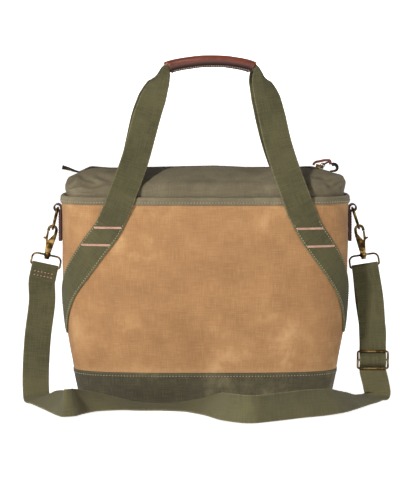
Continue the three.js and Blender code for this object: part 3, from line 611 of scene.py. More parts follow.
class Piece:
    """One mesh in the making, in millimetres until it is placed."""

    def __init__(self, name: str) -> None:
        """Starts an empty mesh.

        Args:
            name: the piece's name.
        """
        self.name, self.bm = name, bmesh.new()
        self.uv = self.bm.loops.layers.uv.new(UV_NAME)
        self.wear = self.bm.verts.layers.float.new(WEAR_NAME)

    def surface(
        self,
        points: Array,
        lengths: Optional[Array] = None,
        round_rows: bool = False,
        round_columns: bool = False,
        wear: Optional[Array] = None,
    ) -> "Piece":
        """Adds a grid that is laid over points.

        Args:
            points: rows of columns of points.
            lengths: the cloth's own across and along distance at each point.
            round_rows: whether the last row joins the first.
            round_columns: whether the last column joins the first.
            wear: how worn each point is; on some pieces it also holds painted highlight, and painted shade
                below zero.

        Returns:
            This piece.
        """
        points = np.pad(points, ((0, int(round_rows)), (0, int(round_columns)), (0, 0)), mode="wrap")
        rows, columns = points.shape[:2]
        grid = bmesh.ops.create_grid(self.bm, x_segments=columns - 1, y_segments=rows - 1, size=0.5)
        flat = np.array([vert.co[:2] for vert in grid["verts"]])
        low, high = flat.min(axis=0), flat.max(axis=0)
        cells = np.rint((flat - low) / (high - low) * (columns - 1, rows - 1)).astype(int)
        for vert, (i, j) in zip(grid["verts"], cells):
            vert.co = points[j, i] * MM
            if wear is not None:
                vert[self.wear] = float(wear[j % wear.shape[0], i % wear.shape[1]])
            if lengths is not None:
                spot = lengths[min(j, lengths.shape[0] - 1), min(i, lengths.shape[1] - 1)] * MM
                for loop in vert.link_loops:
                    loop[self.uv].uv = spot
        bmesh.ops.remove_doubles(self.bm, verts=grid["verts"], dist=WELD)
        return self

    def wire(self, points: Array, radius: float, sides: int = 12, looped: bool = True) -> "Piece":
        """Adds a round wire along a line.

        Args:
            points: the line's points, in one plane.
            radius: the wire's radius.
            sides: how many sides it has.
            looped: whether it closes on itself; an open one has rounded ends.

        Returns:
            This piece.
        """
        third = len(points) // 3
        flat = np.cross(points[third] - points[0], points[2 * len(points) // 3] - points[0])
        across = unit(flat) if flat.any() else UP
        reach = np.full(len(points), radius)
        if looped:
            along = unit(np.roll(points, -1, axis=0) - np.roll(points, 1, axis=0))
        else:
            ends = np.array([0.0, 0.5, 0.87])
            back = radius * np.sqrt(1 - ends**2)[:, None]
            along = np.pad(heading(points), ((len(ends), len(ends)), (0, 0)), mode="edge")
            reach = np.concatenate([radius * ends, reach, radius * ends[::-1]])
            points = np.vstack([points[0] - along[0] * back, points, points[-1] + along[-1] * back[::-1]])
        out = np.cross(along, across)[:, None]
        angle = np.linspace(0, 2 * math.pi, sides, endpoint=False)[None, :, None]
        section = np.cos(angle) * out + np.sin(angle) * across
        return self.surface(points[:, None] + section * reach[:, None, None], None, looped, True)

    def bevel(self, edges: Sequence[bmesh.types.BMEdge], round_by: float, segments: int) -> None:
        """Rounds edges off.

        Args:
            edges: the edges.
            round_by: the rounding.
            segments: how many faces it has.
        """
        bmesh.ops.bevel(
            self.bm, geom=list(edges), offset=round_by * MM, offset_type="OFFSET", affect="EDGES",
            segments=segments, profile=0.5, material=-1, clamp_overlap=True,
        )

    def block(self, place: Matrix, sizes: Sequence[float], round_by: float) -> None:
        """Adds a block with rounded edges.

        Args:
            place: its place, in millimetres.
            sizes: its sizes.
            round_by: the rounding of its edges.
        """
        grown = TO_METRES @ place @ Matrix.Diagonal((*sizes, 1.0))
        made = bmesh.ops.create_cube(self.bm, size=1.0, matrix=grown)["verts"]
        self.bevel(dict.fromkeys(edge for vert in made for edge in vert.link_edges), round_by, 1)

    def copy_of(self, node: str, round_by: float, sharp: float = 25.0) -> "Piece":
        """Adds a part's own solid with its edges rounded off.

        Args:
            node: the solid's name.
            round_by: the rounding of its edges.
            sharp: the least angle of an edge that is rounded, in degrees.

        Returns:
            This piece.
        """
        self.bm.from_mesh(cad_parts[node].data)
        bmesh.ops.remove_doubles(self.bm, verts=self.bm.verts, dist=1e-6)
        flat = math.radians(1.0)
        bmesh.ops.dissolve_limit(self.bm, angle_limit=flat, verts=self.bm.verts, edges=self.bm.edges)
        self.bevel([e for e in self.bm.edges if e.calc_face_angle(0.0) > math.radians(sharp)], round_by, 2)
        return self

    def moved(self, matrix: Matrix) -> "Piece":
        """Moves all of the piece by a matrix in millimetres and hands the piece back."""
        bmesh.ops.transform(self.bm, matrix=TO_METRES @ matrix @ TO_METRES.inverted(), verts=self.bm.verts)
        return self

    def placed(
        self,
        material: Material,
        slot: Slot,
        nodes: Sequence[str] = (),
        body: Body = Body.BAG,
        crease: float = 50.0,
    ) -> Object:
        """Ends the mesh and puts it on its body.

        Args:
            material: its finish.
            slot: the record's slot of that finish; not used.
            nodes: the part's solids that it stands for.
            body: the body that it rides on.
            crease: edges sharper than this stay sharp, in degrees.

        Returns:
            The object.
        """
        bmesh.ops.recalc_face_normals(self.bm, faces=self.bm.faces)
        obj = stand(self.name, self.bm, material)
        obj.data.shade_smooth()
        obj.data.set_sharp_from_angle(angle=math.radians(crease))
        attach(obj, body.value)
        if nodes:
            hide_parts(*nodes)
        LOG.info("%s: %d faces on %s", self.name, len(obj.data.polygons), body.value)
        return obj


@dataclass
class Thread:
    """Sewing: rows of single stitches in one thread, kept as one mesh."""

    name: str
    finish: Material
    slot: Slot
    long: float = 2.5
    wide: float = 0.6
    tall: float = 0.5
    piece: Piece = field(init=False)

    def __post_init__(self) -> None:
        """Starts the mesh."""
        self.piece = Piece(self.name)

    def row(self, points: Array, out: Array, pitch: float) -> None:
        """Sews along a line.

        Args:
            points: the line, on the cloth.
            out: the direction off the cloth, for each point or for all.
            pitch: the distance from stitch to stitch.
        """
        spots = even(np.hstack([points, np.broadcast_to(out, points.shape)]), pitch)
        along = np.gradient(spots[:, :3], axis=0) if len(spots) > 1 else points[-1:] - points[:1]
        for spot, way in zip(spots, along):
            self.stitch(spot[:3], way, spot[3:], self.long)

    def stitch(self, at: Array, along: Array, out: Array, long: float) -> None:
        """Sets one stitch of a length.

        Args:
            at: its middle.
            along: its direction.
            out: about the direction off the cloth.
            long: its length.
        """
        way = unit(along)
        off = unit(out - way * np.dot(out, way))
        bead = placement((way * long / 2, np.cross(off, way) * self.wide, off * self.tall), at)
        bmesh.ops.create_icosphere(self.piece.bm, subdivisions=1, radius=1.0, matrix=TO_METRES @ bead)

    def tie_off(self) -> None:
        """Ends the sewing as an object on the bag."""
        self.piece.placed(self.finish, self.slot, crease=180.0)


@dataclass
class Skin:
    """The bag's outside: a rounded rectangle whose size changes with height."""

    rounding: float = 3.6
    ease: float = 14.0
    # where the easing starts, and the height over which it grows
    ease_from: Pair = (5.0, 20.0)
    seam_pitch: float = 4.2
    # the loose cloth between the base and the rim, and its waves
    loose_foot: Graded = (1.5, 48, 70)
    loose_top: Graded = (1.0, 286, 262)
    loose_waves: Table = ((0.35, 46.0, 0.0), (0.28, 17.0, 4.0))
    # height, half width, half depth
    levels: Table = (
        (0, 172, 82), (5, 175, 85), (26, 179.5, 88), (48, 184, 90), (80, 191, 93), (120, 196.5, 95),
        (165, 199.5, 95.5), (220, 200.5, 94), (290, 200.5, 91),
    )
    # a dent's side (-1 is the front), X and height, its depth, and how wide and tall it is
    hollows: Table = (
        (-1, -58, 226, 3.0, 46, 34), (-1, 78, 196, 2.6, 40, 40), (-1, 6, 92, 2.2, 70, 22),
        (1, 40, 214, 3.0, 52, 36), (1, -64, 120, 2.4, 60, 30),
    )

    def half_sizes(self, z: float) -> Pair:
        """Half the width and half the depth at one height, with the table's corners eased.

        Args:
            z: the height.

        Returns:
            Both halves.
        """
        heights, *halves = np.array(self.levels, float).T
        foot, rise = self.ease_from
        reach = self.ease * np.clip((z - foot) / rise, 0.0, 1.0)
        at = np.clip(z + np.linspace(-reach, reach, 9), heights[0], heights[-1])
        wide, deep = (float(np.interp(at, heights, half).mean()) for half in halves)
        return wide, deep

    def dent(self, points: Array) -> Array:
        """How far the padded wall falls in.

        Args:
            points: points of the outside.

        Returns:
            The depth at each of them.
        """
        x, y, z = points.T
        deep = np.zeros(len(points))
        for face, at_x, at_z, depth, wide, tall in self.hollows:
            deep += np.where(face * y >= 0, depth * hump(x, at_x, wide) * hump(z, at_z, tall), 0.0)
        loose = graded(z, *self.loose_foot) * graded(z, *self.loose_top)
        return deep + loose * np.clip(0.5 + waves(points, self.loose_waves), 0.0, 1.2)

    def ring(self, shares: Array, z: float, lift: float) -> Array:
        """Points of the outside at one height.

        Args:
            shares: shares of the way round.
            z: the height.
            lift: how far off the outside they are.

        Returns:
            The points.
        """
        flat, out, _ = plan(shares, *self.half_sizes(z), self.rounding)
        points = np.column_stack([flat, np.full(len(flat), z)])
        points[:, :2] += (lift - self.dent(points))[:, None] * out
        return points

    def around(self, z: float) -> float:
        """The length all round at one height."""
        return plan(np.zeros(1), *self.half_sizes(z), self.rounding)[2]

    def spot(self, along: float, z: float, lift: float) -> Array:
        """One point by its distance along the outside from the front's middle."""
        return self.ring(np.array([along / self.around(z)]), z, lift)[0]

    def sew_round(self, thread: Thread, count: int, z: float, lift: float) -> None:
        """Sews a row all round at one height, along a line of so many points."""
        line = self.ring(np.linspace(0, 1, count), z, lift)
        thread.row(line, line * (0.25, 1.0, 0.0), self.seam_pitch)


@dataclass
class PaddedWall:
    """Insulated wall of waxed canvas from the base seam to the rim."""

    skin: Skin
    canvas: Material
    foot: float = 48.3
    top: float = 286.6
    thick: float = 5.0
    columns: int = 260
    rows: int = 92
    lining_rows: int = 10
    girth_z: float = 165.0
    foot_wear: Graded = (0.35, 58, 48)
    top_wear: Graded = (0.3, 272, 284)

    def build(self) -> None:
        """Makes the wall, its outside up and its lining down again."""
        outside = np.linspace(self.foot, self.top, self.rows)
        heights = np.append(outside, np.linspace(self.top, self.foot, self.lining_rows))
        lifts = np.repeat((0.0, -self.thick), (self.rows, self.lining_rows))
        shares = shares_round(self.columns)
        points = np.stack([self.skin.ring(shares, z, lift) for z, lift in zip(heights, lifts)])
        around = self.skin.around(self.girth_z)
        lengths = cloth_map(around, self.columns, np.append(heights, self.foot))
        rubbed = graded(heights, *self.foot_wear) + graded(heights, *self.top_wear)
        piece = Piece("padded_wall").surface(points, lengths, True, True, rubbed[:, None])
        wall = piece.placed(self.canvas, Slot.TAN, ["body_panel"])


@dataclass
class WaxedBase:
    """Tub of dark waxed canvas under the wall."""

    skin: Skin
    canvas: Material
    thread: Thread
    seam: float = 48.0
    floor: float = 4.0
    thick: float = 5.0
    proud: float = 1.2
    columns: int = 240
    stitch_z: float = 43.6
    stitch_lift: float = 1.32
    # how far it bows in as a share of its depth, between which heights, and in which waves
    bow: Triple = (0.004, 6.0, 40.0)
    bow_waves: Table = ((1.0, 38.0, 2.0),)
    girth_z: float = 26.0
    foot_wear: Graded = (0.55, 8, 2)
    lip_wear: Graded = (0.45, 44, 48)
    patches: Row = (0.45, 0.9, 26.0, 7.0)

    def rows(self) -> Array:
        """The section from the middle of the underside to the middle of the floor inside.

        Returns:
            Rows of height, lift off the outside, and share of the way out from the middle.
        """
        under = [(0.0, 0.0, s) for s in (0.0, 0.3, 0.6, 0.85, 0.97)]
        turn = [(0.0, -1.0, 1.0), (0.5, 0.1, 1.0), (1.8, 0.7, 1.0)]
        side = [(z, self.proud, 1.0) for z in np.linspace(5.0, self.seam - 1.4, 22)]
        lip = [(self.seam - 0.4, 0.9, 1.0), (self.seam, 0.0, 1.0), (self.seam, -self.thick, 1.0)]
        inside = [(z, -self.thick, 1.0) for z in (40.0, 26.0, 10.0, self.floor)]
        middle = [(self.floor, -self.thick, s) for s in (0.9, 0.5, 0.0)]
        return np.array(under + turn + side + lip + inside + middle)

    def build(self) -> None:
        """Makes the tub and sews along its top edge."""
        rows, shares = self.rows(), shares_round(self.columns)
        points = np.stack([self.skin.ring(shares, z, lift) for z, lift, _ in rows])
        bow, low, high = self.bow
        for ring, (z, lift, share) in zip(points, rows):
            if low < z < high and lift > 0:
                ring[:, 1] *= 1 - bow * (1 + waves(ring, self.bow_waves))
            ring[:, :2] *= share
        lengths = cloth_map(self.skin.around(self.girth_z), self.columns, travelled(points[:, 0]))
        lengths[..., 0] *= rows[:, 2:]
        rubbed = graded(rows[:, :1], *self.foot_wear) + graded(rows[:, :1], *self.lip_wear)
        wear = rubbed * patchy(points, *self.patches)
        piece = Piece("waxed_base").surface(points, lengths, False, True, wear)
        base = piece.placed(self.canvas, Slot.BASE, ["base_boot"], crease=65.0)
        self.skin.sew_round(self.thread, 400, self.stitch_z, self.stitch_lift)


@dataclass
class BoundRim:
    """Cloth binding folded over the wall's top edge."""

    skin: Skin
    canvas: Material
    thread: Thread
    foot: float = 279.5
    stitch_z: float = 282.6
    stitch_lift: float = 2.0
    columns: int = 260
    girth_z: float = 285.0
    waves: Table = ((0.55, 31.0, 9.0),)
    # how worn it is, then how pale the rows over its top are: wear there with a painted highlight over the
    # roll's top
    wear: Pair = (0.12, 0.6)
    top_highlight_rows: tuple[int, int] = (4, 8)
    patches: Row = (0.5, 0.8, 22.0, 3.0)
    # rise above its foot and lift off the wall
    section: Table = (
        (0.0, 1.55), (2.6, 1.85), (5.0, 1.75), (7.4, 1.55), (9.2, 1.0), (10.3, -0.3), (10.7, -2.4),
        (10.3, -4.6), (9.2, -5.9), (7.4, -6.5), (4.0, -6.6), (1.0, -6.6), (1.0, -5.35), (5.0, -5.3),
        (7.4, -5.1), (8.3, -4.0), (8.7, -2.5), (8.3, -0.6), (7.2, 0.15), (5.0, 0.3), (0.0, 0.3),
    )

    def build(self) -> None:
        """Makes the binding and its row of stitches."""
        shares, around = shares_round(self.columns), self.skin.around(self.girth_z)
        rings = np.stack([self.skin.ring(shares, self.foot + rise, lift) for rise, lift in self.section])
        rings[..., 2] += waves(rings, self.waves)
        lengths = cloth_map(around, self.columns, travelled(np.array(self.section)))
        rubbed = np.full((len(rings), 1), self.wear[0])
        # painted highlight: the rows over the roll's top are paler, on top of their wear
        rubbed[slice(*self.top_highlight_rows)] = self.wear[1]
        wear = rubbed * patchy(rings, *self.patches)
        piece = Piece("bound_rim").surface(rings, lengths, True, True, wear)
        rim = piece.placed(self.canvas, Slot.OLIVE, ["rim_binding"], crease=70.0)
        self.skin.sew_round(self.thread, 500, self.stitch_z, self.stitch_lift)
        around * MM


@dataclass
class Collar:
    """Gathered cloth closure from the inside of the rim up to the zip."""

    canvas: Material
    rim: float = 290.0
    thick: float = 1.8
    columns: int = 480
    per_row: int = 11
    long: float = 1010.0
    ease: float = 9.0
    patches: Row = (0.0, 0.25, 20.0, 5.0)
    # its own waves, and how many times steeper the broad ones are up and down
    broad_waves: Table = ((1.0, 34.0, 1.0),)
    steeper: float = 1.7
    fine_waves: Table = ((0.6, 15.0, 6.0),)
    # the waves' height in the middle, then what is added towards the ends
    wave_high: float = 0.9
    wave_ends: Graded = (1.5, 90, 180)
    # the shares of the rise between which the cloth is free
    free_foot: Graded = (1.0, 0.02, 0.3)
    free_top: Graded = (1.0, 1.02, 0.9)
    # how far a wave goes out and up
    push: Pair = (0.8, 0.7)
    # half length, half depth, rounding, and share of the rise to the ridge
    rows: Table = (
        (193.2, 83.8, 3.6, -0.3), (193.6, 83.6, 3.6, 0.0), (194.5, 80, 3.6, 0.34), (195.5, 63, 3.8, 0.62),
        (195, 41, 4.4, 0.83), (193, 20, 6, 0.95), (190, 7, 10, 1.0),
    )
    ridge_x: Row = (-197, -179, -160, -128, 12, 58, 152, 170, 197)
    ridge_z: Row = (311, 319, 327, 326, 329, 327, 327, 322, 315)
    # X, depth and width
    pleats: Table = ((-158, 5.0, 15), (-118, 2.6, 18), (132, 2.8, 18), (166, 5.0, 15))
    # the front's folds, by X and height of both ends, depth and width
    creases: Table = (
        (-189, 301, -166, 313, 5.0, 2.6), (-192, 307, -181, 314, 3.6, 2.2),
        (-176, 318, -148, 309, 3.4, 2.6), (-168, 303, -134, 309, 2.6, 2.8),
        (-150, 318, -128, 312, 2.2, 3.0), (-186, 296, -160, 299, 2.4, 2.4),
        (148, 316.5, 178, 313.5, 5.0, 2.0), (170, 303, 191, 309, 3.2, 2.4),
        (128, 307, 152, 302, 2.2, 3.0), (160, 309, 184, 304, 2.4, 2.4),
        (-60, 306, 6, 303, 1.4, 4.6), (40, 303, 92, 306, 1.4, 4.6),
    )

    def crest(self, x: Union[float, Array]) -> Array:
        """The ridge's height at X by the table."""
        return np.interp(x, self.ridge_x, self.ridge_z)

    def ridge(self, x: Array) -> Array:
        """The ridge's height at X, with the table's corners eased."""
        return np.mean([self.crest(x + off) for off in np.linspace(-self.ease, self.ease, 7)], axis=0)

    def fold(self, points: Array) -> Array:
        """How deep the creases are on the front, and on the back for its own mirror image.

        Args:
            points: points of the closure.

        Returns:
            The depth at each of them.
        """
        side = np.where(points[:, 1] < 0, 1.0, -1.0)
        spot = np.column_stack([points[:, 0] * side, points[:, 2]])
        deep = np.zeros(len(points))
        for x0, z0, x1, z1, depth, wide in self.creases:
            start, way = np.array([x0, z0]), np.array([x1 - x0, z1 - z0])
            share = np.clip((spot - start) @ way / (way @ way), 0, 1)
            far = np.linalg.norm(spot - start - share[:, None] * way, axis=1)
            deep += depth * hump(far, 0.0, wide) * np.sin(math.pi * (0.12 + 0.76 * share))
        return deep

    def ring(self, shares: Array, row: Array, inset: float) -> Array:
        """One ring of the closure.

        Args:
            shares: shares of the way round.
            row: the ring's half length, half depth, rounding and rise.
            inset: how far inside the cloth's face it lies.

        Returns:
            The points.
        """
        half_length, half_depth, rounding, rise = row
        up = max(rise, 0.0)
        flat, out, _ = plan(shares, half_length - inset, half_depth - inset * (1 - up), rounding)
        x = flat[:, 0]
        pleat = sum(depth * hump(x, middle, wide) for middle, depth, wide in self.pleats)
        z = self.rim + (self.ridge(x) - self.rim) * rise - pleat * math.sin(math.pi * up) - inset * up
        points = np.column_stack([flat, z])
        free = graded(rise, *self.free_foot) * graded(rise, *self.free_top)
        wave = waves(points * (1, 1, self.steeper), self.broad_waves) + waves(points, self.fine_waves)
        high = self.wave_high + graded(np.abs(x), *self.wave_ends)
        push = free * (high * wave - self.fold(points))
        return points + np.column_stack([out * push[:, None] * self.push[0], push * self.push[1]])

    def build(self) -> None:
        """Makes the closure, its face up to the zip and its lining down again."""
        shares = shares_round(self.columns)
        fine = spline(np.array(self.rows, float), self.per_row)
        fine[:, 3] = np.minimum(fine[:, 3], 1.0)
        face = [self.ring(shares, row, 0.0) for row in fine]
        points = np.stack(face + [self.ring(shares, row, self.thick) for row in fine[::-3]])
        lengths = cloth_map(self.long, self.columns, travelled(points[:, 0]))
        wear = patchy(points, *self.patches)
        piece = Piece("gathered_collar").surface(points, lengths, True, True, wear)
        collar = piece.placed(self.canvas, Slot.OLIVE, ["collar"], crease=75.0)


@dataclass
class Tape:
    """Section of a flat woven tape with rounded edges."""

    half: float
    thick: float
    flats: Row = (-0.965, -0.87, -0.7, -0.48, -0.24, 0.0, 0.24, 0.48, 0.7, 0.87, 0.965)
    edge: Table = ((0.995, 0.6), (1.005, 0.0), (0.995, -0.6))

    def outline(self) -> Array:
        """Points round the section, by shares of the half width and of the half thickness."""
        half = np.array([*((step, 1.0) for step in self.flats), *self.edge])
        return np.vstack([half, -half])

    def lay(self, at: Array, across: Array) -> Array:
        """Rings of the tape along a line.

        Args:
            at: the line.
            across: about the direction across the tape, for each point or for all.

        Returns:
            The rings.
        """
        along = heading(at)
        wide = unit(across - along * np.sum(across * along, axis=1, keepdims=True))
        out = unit(np.cross(along, wide))
        step, rise = self.outline().T[:, None, :, None]
        return at[:, None] + step * self.half * wide[:, None] + rise * self.thick / 2 * out[:, None]

    def piece(self, name: str, rings: Array, rubbed: float = 0.0, below: float = 70.0) -> Piece:
        """A closed piece of tape over rings.

        Args:
            name: its name.
            rings: its rings.
            rubbed: how much paler it is near the floor, a painted highlight on the strap lying face up
                there.
            below: the height under which the painted highlight starts.

        Returns:
            The piece.
        """
        ends = np.repeat(rings[[0, -1]].mean(axis=1, keepdims=True), rings.shape[1], axis=1)
        closed = np.concatenate([ends[:1], rings, ends[1:]])
        step = self.outline()[:, 0] * self.half
        lengths = np.stack(np.meshgrid(np.append(step, step[0]), travelled(closed.mean(axis=1))), axis=-1)
        # painted highlight: paler where it lies low on the floor
        wear = graded(closed[..., 2], rubbed, below, below / 4)
        return Piece(name).surface(closed, lengths, False, True, wear)


@dataclass
class WebHandle:
    """One webbing handle, sewn up the wall and rolled into a leather grip."""

    skin: Skin
    side: Side
    webbing: Material
    edges: Thread
    tacks: Thread
    tape: Tape = field(default_factory=lambda: Tape(19.0, 2.2))
    lift: float = 0.55
    # how far it climbs over the rim's binding, and the heights between which it does
    over: Graded = (2.2, 260, 276)
    # how far the back handle stands to one side, and the heights between which it gets there
    shift: Graded = (-4.0, 290, 400)
    full_fold: float = 80.0
    bend: float = 1.4
    grip_rows: tuple[int, int] = (7, 11)
    sewn_top: float = 262.0
    edge_top: float = 258.0
    edge_pitch: float = 3.9
    tack_heights: Table = ((248.2, 224.3), (246.9, 222.2))
    tack_pitch: float = 1.55
    tack_long: float = 3.1
    tack_lean: float = 0.75
    tack_half: float = 0.9
    tack_row_pitch: float = 2.0
    # how far the tacks and the other rows stand off the webbing
    tack_off: float = 0.25
    row_off: float = 0.1
    # the left and right leg's distance from the front's middle at a height
    walls: Table = (
        (231, 232, 106), (224, 226, 121), (213, 217, 141), (199, 205, 163),
        (176, 184, 192), (153, 161, 222), (134, 144, 247), (121, 131, 273),
    )
    # the free run's X, Y and Z, its fold in degrees and its half width
    frees: Table = (
        (-113.5, -94.4, 294, 0, 19), (-99, -70, 333, 0, 19), (-89.5, -46, 366, 0, 19),
        (-81, -31, 398, 0, 19), (-72.3, -22, 425, 8, 18.4), (-65, -19, 447, 23, 15.8),
        (-60, -14.5, 461, 46, 13), (-52, -9, 470, 80, 6.4), (-12, -9, 478.5, 80, 6.4),
        (12, -9, 479.8, 80, 6.4), (36, -9, 478.5, 80, 6.4), (70, -9, 470.5, 80, 6.4),
        (78, -14.5, 461, 46, 13), (81, -19, 447, 23, 15.8), (86.8, -22, 425, 8, 18.4),
        (93, -31, 398, 0, 19), (100, -46, 366, 0, 19), (109.5, -70, 333, 0, 19),
        (123.5, -94.4, 294, 0, 19),
    )

    @property
    def word(self) -> str:
        """The side's name in piece names."""
        return self.side.name.lower()

    def turned(self, points: Array) -> Array:
        """Points of the front handle, moved to this handle's own side of the bag.

        Args:
            points: the points.

        Returns:
            The moved points.
        """
        if self.side is Side.FRONT:
            return points
        moved = points * (1, -1, 1)
        moved[..., 0] += graded(points[..., 2], *self.shift)
        return moved

    def wall_rings(self, leg: int) -> Array:
        """Rings of one sewn leg, which follow the wall.

        Args:
            leg: 0 for the left leg, which runs up, and 1 for the right one, which runs down.

        Returns:
            The rings.
        """
        sign = 1 if leg else -1
        run = spline(np.array([(sign * row[leg], row[2]) for row in self.walls[::-sign]]), 4)
        step, rise = self.tape.outline().T
        rings = []
        for at, way in zip(run, heading(run)):
            places = at[0] - step * self.tape.half * way[1]
            heights = at[1] + step * self.tape.half * way[0]
            lifts = self.lift + graded(heights, *self.over) + (rise + 1) / 2 * self.tape.thick
            rings.append([self.skin.spot(*spot) for spot in zip(places, heights, lifts)])
        return np.array(rings)

    def frames(self, steps: int) -> tuple[Array, ...]:
        """The free run's points and directions.

        Args:
            steps: how many parts each span has.

        Returns:
            The points, the directions out and across, the folds in radians and the half widths.
        """
        rows = np.array(self.frees)
        at = spline(rows[:, :3], steps)
        along = heading(at)
        front = unit(-BACK + along * (along @ BACK)[:, None])
        beside = np.cross(front, along)
        index = np.linspace(0, len(rows) - 1, len(at))
        fold, half = (np.interp(index, np.arange(len(rows)), column) for column in rows[:, 3:].T)
        turn = np.radians(90 * fold / self.full_fold)[:, None]
        out = front * np.cos(turn) + beside * np.sin(turn)
        wide = beside * np.cos(turn) - front * np.sin(turn)
        return at, out, wide, np.radians(fold), half

    def free_rings(self) -> Array:
        """Rings of the free run, folded lengthwise about the middle towards the grip.

        Returns:
            The rings.
        """
        step, rise = self.tape.outline().T
        off = rise * self.tape.thick / 2
        rings = []
        for at, out, wide, fold, half in zip(*self.frames(4)):
            reach = np.abs(step) * half
            turn = np.minimum(reach / self.bend, fold)
            rest = np.maximum(reach - self.bend * fold, 0)
            over = (self.bend + off) * np.sin(turn) + rest * math.cos(fold)
            down = (self.bend + off) * np.cos(turn) - self.bend - rest * math.sin(fold)
            rings.append(at + np.outer(np.sign(step) * over, wide) + np.outer(down, out))
        return np.array(rings)

    def rings(self) -> Array:
        """All rings of the webbing on this handle's side, from the left leg's foot to the right's.

        Returns:
            The rings.
        """
        rough = np.concatenate([self.wall_rings(0), self.free_rings(), self.wall_rings(1)])
        fine = spline(rough.reshape(len(rough), -1), 3)
        return self.turned(fine.reshape(-1, *rough.shape[1:]))

    def sew(self, rings: Array) -> None:
        """Sews the legs to the wall, along their edges and with tacks across.

        Args:
            rings: the webbing's rings.
        """
        half, last = len(rings) // 2, len(self.tape.flats) - 1
        for leg, heights in zip((rings[:half], rings[half:][::-1]), self.tack_heights):
            low = leg[leg[:, last // 2, 2] < self.sewn_top]
            for column, inner in ((1, 2), (last - 1, last - 2)):
                line = low[low[:, column, 2] < self.edge_top][:, column]
                out = np.cross(np.gradient(line, axis=0), low[: len(line), inner] - line)
                out *= np.sign(np.sum(out * line * (0.3, 1, 0), axis=1, keepdims=True))
                self.edges.row(line + unit(out) * self.row_off, out, self.edge_pitch)
            columns = low[:, 1:last].transpose(1, 2, 0)
            for height in heights:
                line = [[np.interp(height, column[2], axis) for axis in column] for column in columns]
                self.bar_tack(np.array(line))

    def bar_tack(self, line: Array) -> None:
        """Sews one dense zigzag across the webbing, between two rows.

        Args:
            line: the tack's line on the webbing's face.
        """
        spots = even(spline(line, 6), self.tack_pitch)
        out = np.array([0.0, -1.0 * self.side.value, 0.15])
        for k, spot in enumerate(spots):
            way = np.array([self.tack_lean if k % 2 else -self.tack_lean, 0.0, 1.0])
            self.tacks.stitch(spot + out * self.tack_off, way, out, self.tack_long)
        for rise in (self.tack_half, -self.tack_half):
            self.tacks.row(spots + out * self.row_off + UP * rise, out, self.tack_row_pitch)

    def build(self) -> None:
        """Makes the webbing and its sewing."""
        rings = self.rings()
        piece = self.tape.piece(f"{self.word}_handle", rings)
        handle = piece.placed(self.webbing, Slot.WEBBING, [f"handle_{self.word}"], crease=70.0)
        self.sew(rings)
        length = float(travelled(rings.mean(axis=1))[-1])
        LOG.info("%s handle webbing: %.3f m", self.word, length * MM)
        flat = (2 * self.tape.half * MM, length * MM)


@dataclass
class LeatherGrip:
    """Leather wrapped round the folded webbing and sewn below it."""

    handle: WebHandle
    leather: Material
    thread: Thread
    wall: float = 1.8
    steps: int = 12
    pitch: float = 3.2
    # the middle of the hole, its half width in the leather's outline and its lowest point
    core: Pair = (0.0, -2.4)
    core_half: float = 6.1
    core_low: float = -7.2
    # slight swellings along it, by size and by turn to each ring, and how far its ends are drawn in
    swell: Pair = (0.012, 0.9)
    drawn_in: float = 0.05
    flange: tuple[int, int] = (21, 33)
    off: float = 0.12
    # the wear of its two ends, the wear and painted highlight over its top, and the painted shade below
    end_wear: float = 0.5
    top_wear: Graded = (0.4, -1.0, 3.0)
    painted_shade_below: Graded = (-0.9, -2.2, -6.6)
    outline: Table = (
        (0.0, 4.1), (3.6, 3.0), (5.7, 0.6), (6.1, -2.4), (5.6, -5.6), (4.6, -7.8),
        (3.0, -9.2), (2.5, -10.6), (2.4, -12.2), (0.0, -12.5), (-2.4, -12.2), (-2.5, -10.6),
        (-3.0, -9.2), (-4.6, -7.8), (-5.6, -5.6), (-6.1, -2.4), (-5.7, 0.6), (-3.6, 3.0),
    )

    def section(self, inset: float) -> Array:
        """The smooth outline of the wrap, or of the hole in it.

        Args:
            inset: how far inside the outline it lies.

        Returns:
            The points across and up.
        """
        fine = spline(np.array(self.outline + self.outline[:1]), 3)[:-1]
        if inset:
            fine[:, 1] = np.maximum(fine[:, 1], self.core_low)
            fine = self.core + (fine - self.core) * (1 - inset / self.core_half)
        return fine

    def rings(self, inset: float) -> Array:
        """Rings of the wrap along the handle.

        Args:
            inset: how far inside the outline they lie.

        Returns:
            The rings, on the handle's own side.
        """
        first, last = (row * self.steps for row in self.handle.grip_rows)
        frames = zip(*(part[first : last + 1] for part in self.handle.frames(self.steps)[:3]))
        x, y = self.section(inset).T
        size, turn = self.swell
        rings = []
        for k, (spot, up, beside) in enumerate(frames):
            wide = 1 + size * math.sin(k * turn) - (self.drawn_in if k in (0, last - first) else 0.0)
            rings.append(spot + np.outer(x * wide, beside) + np.outer(y, up))
        return self.handle.turned(np.array(rings))

    def build(self) -> None:
        """Makes the wrap and sews its flange."""
        outer, inner = self.rings(0.0), self.rings(self.wall)[::-1]
        points = np.concatenate([outer, inner])
        height = self.section(0.0)[:, 1]
        wear = np.zeros(points.shape[:2])
        wear[[0, len(outer) - 1]] = self.end_wear
        # paler over the top, as wear and painted highlight, and darker underneath, as painted shade
        wear[: len(outer)] += graded(height, *self.top_wear) + graded(height, *self.painted_shade_below)
        word = self.handle.word
        piece = Piece(f"{word}_grip").surface(points, None, True, True, wear)
        for column, sign in zip(self.flange, (1, -1)):
            out = -BACK * sign * self.handle.side.value
            self.thread.row(outer[2:-2, column] + out * self.off, out, self.pitch)
        piece.placed(self.leather, Slot.GRIP, [f"grip_{word}"], crease=60.0)


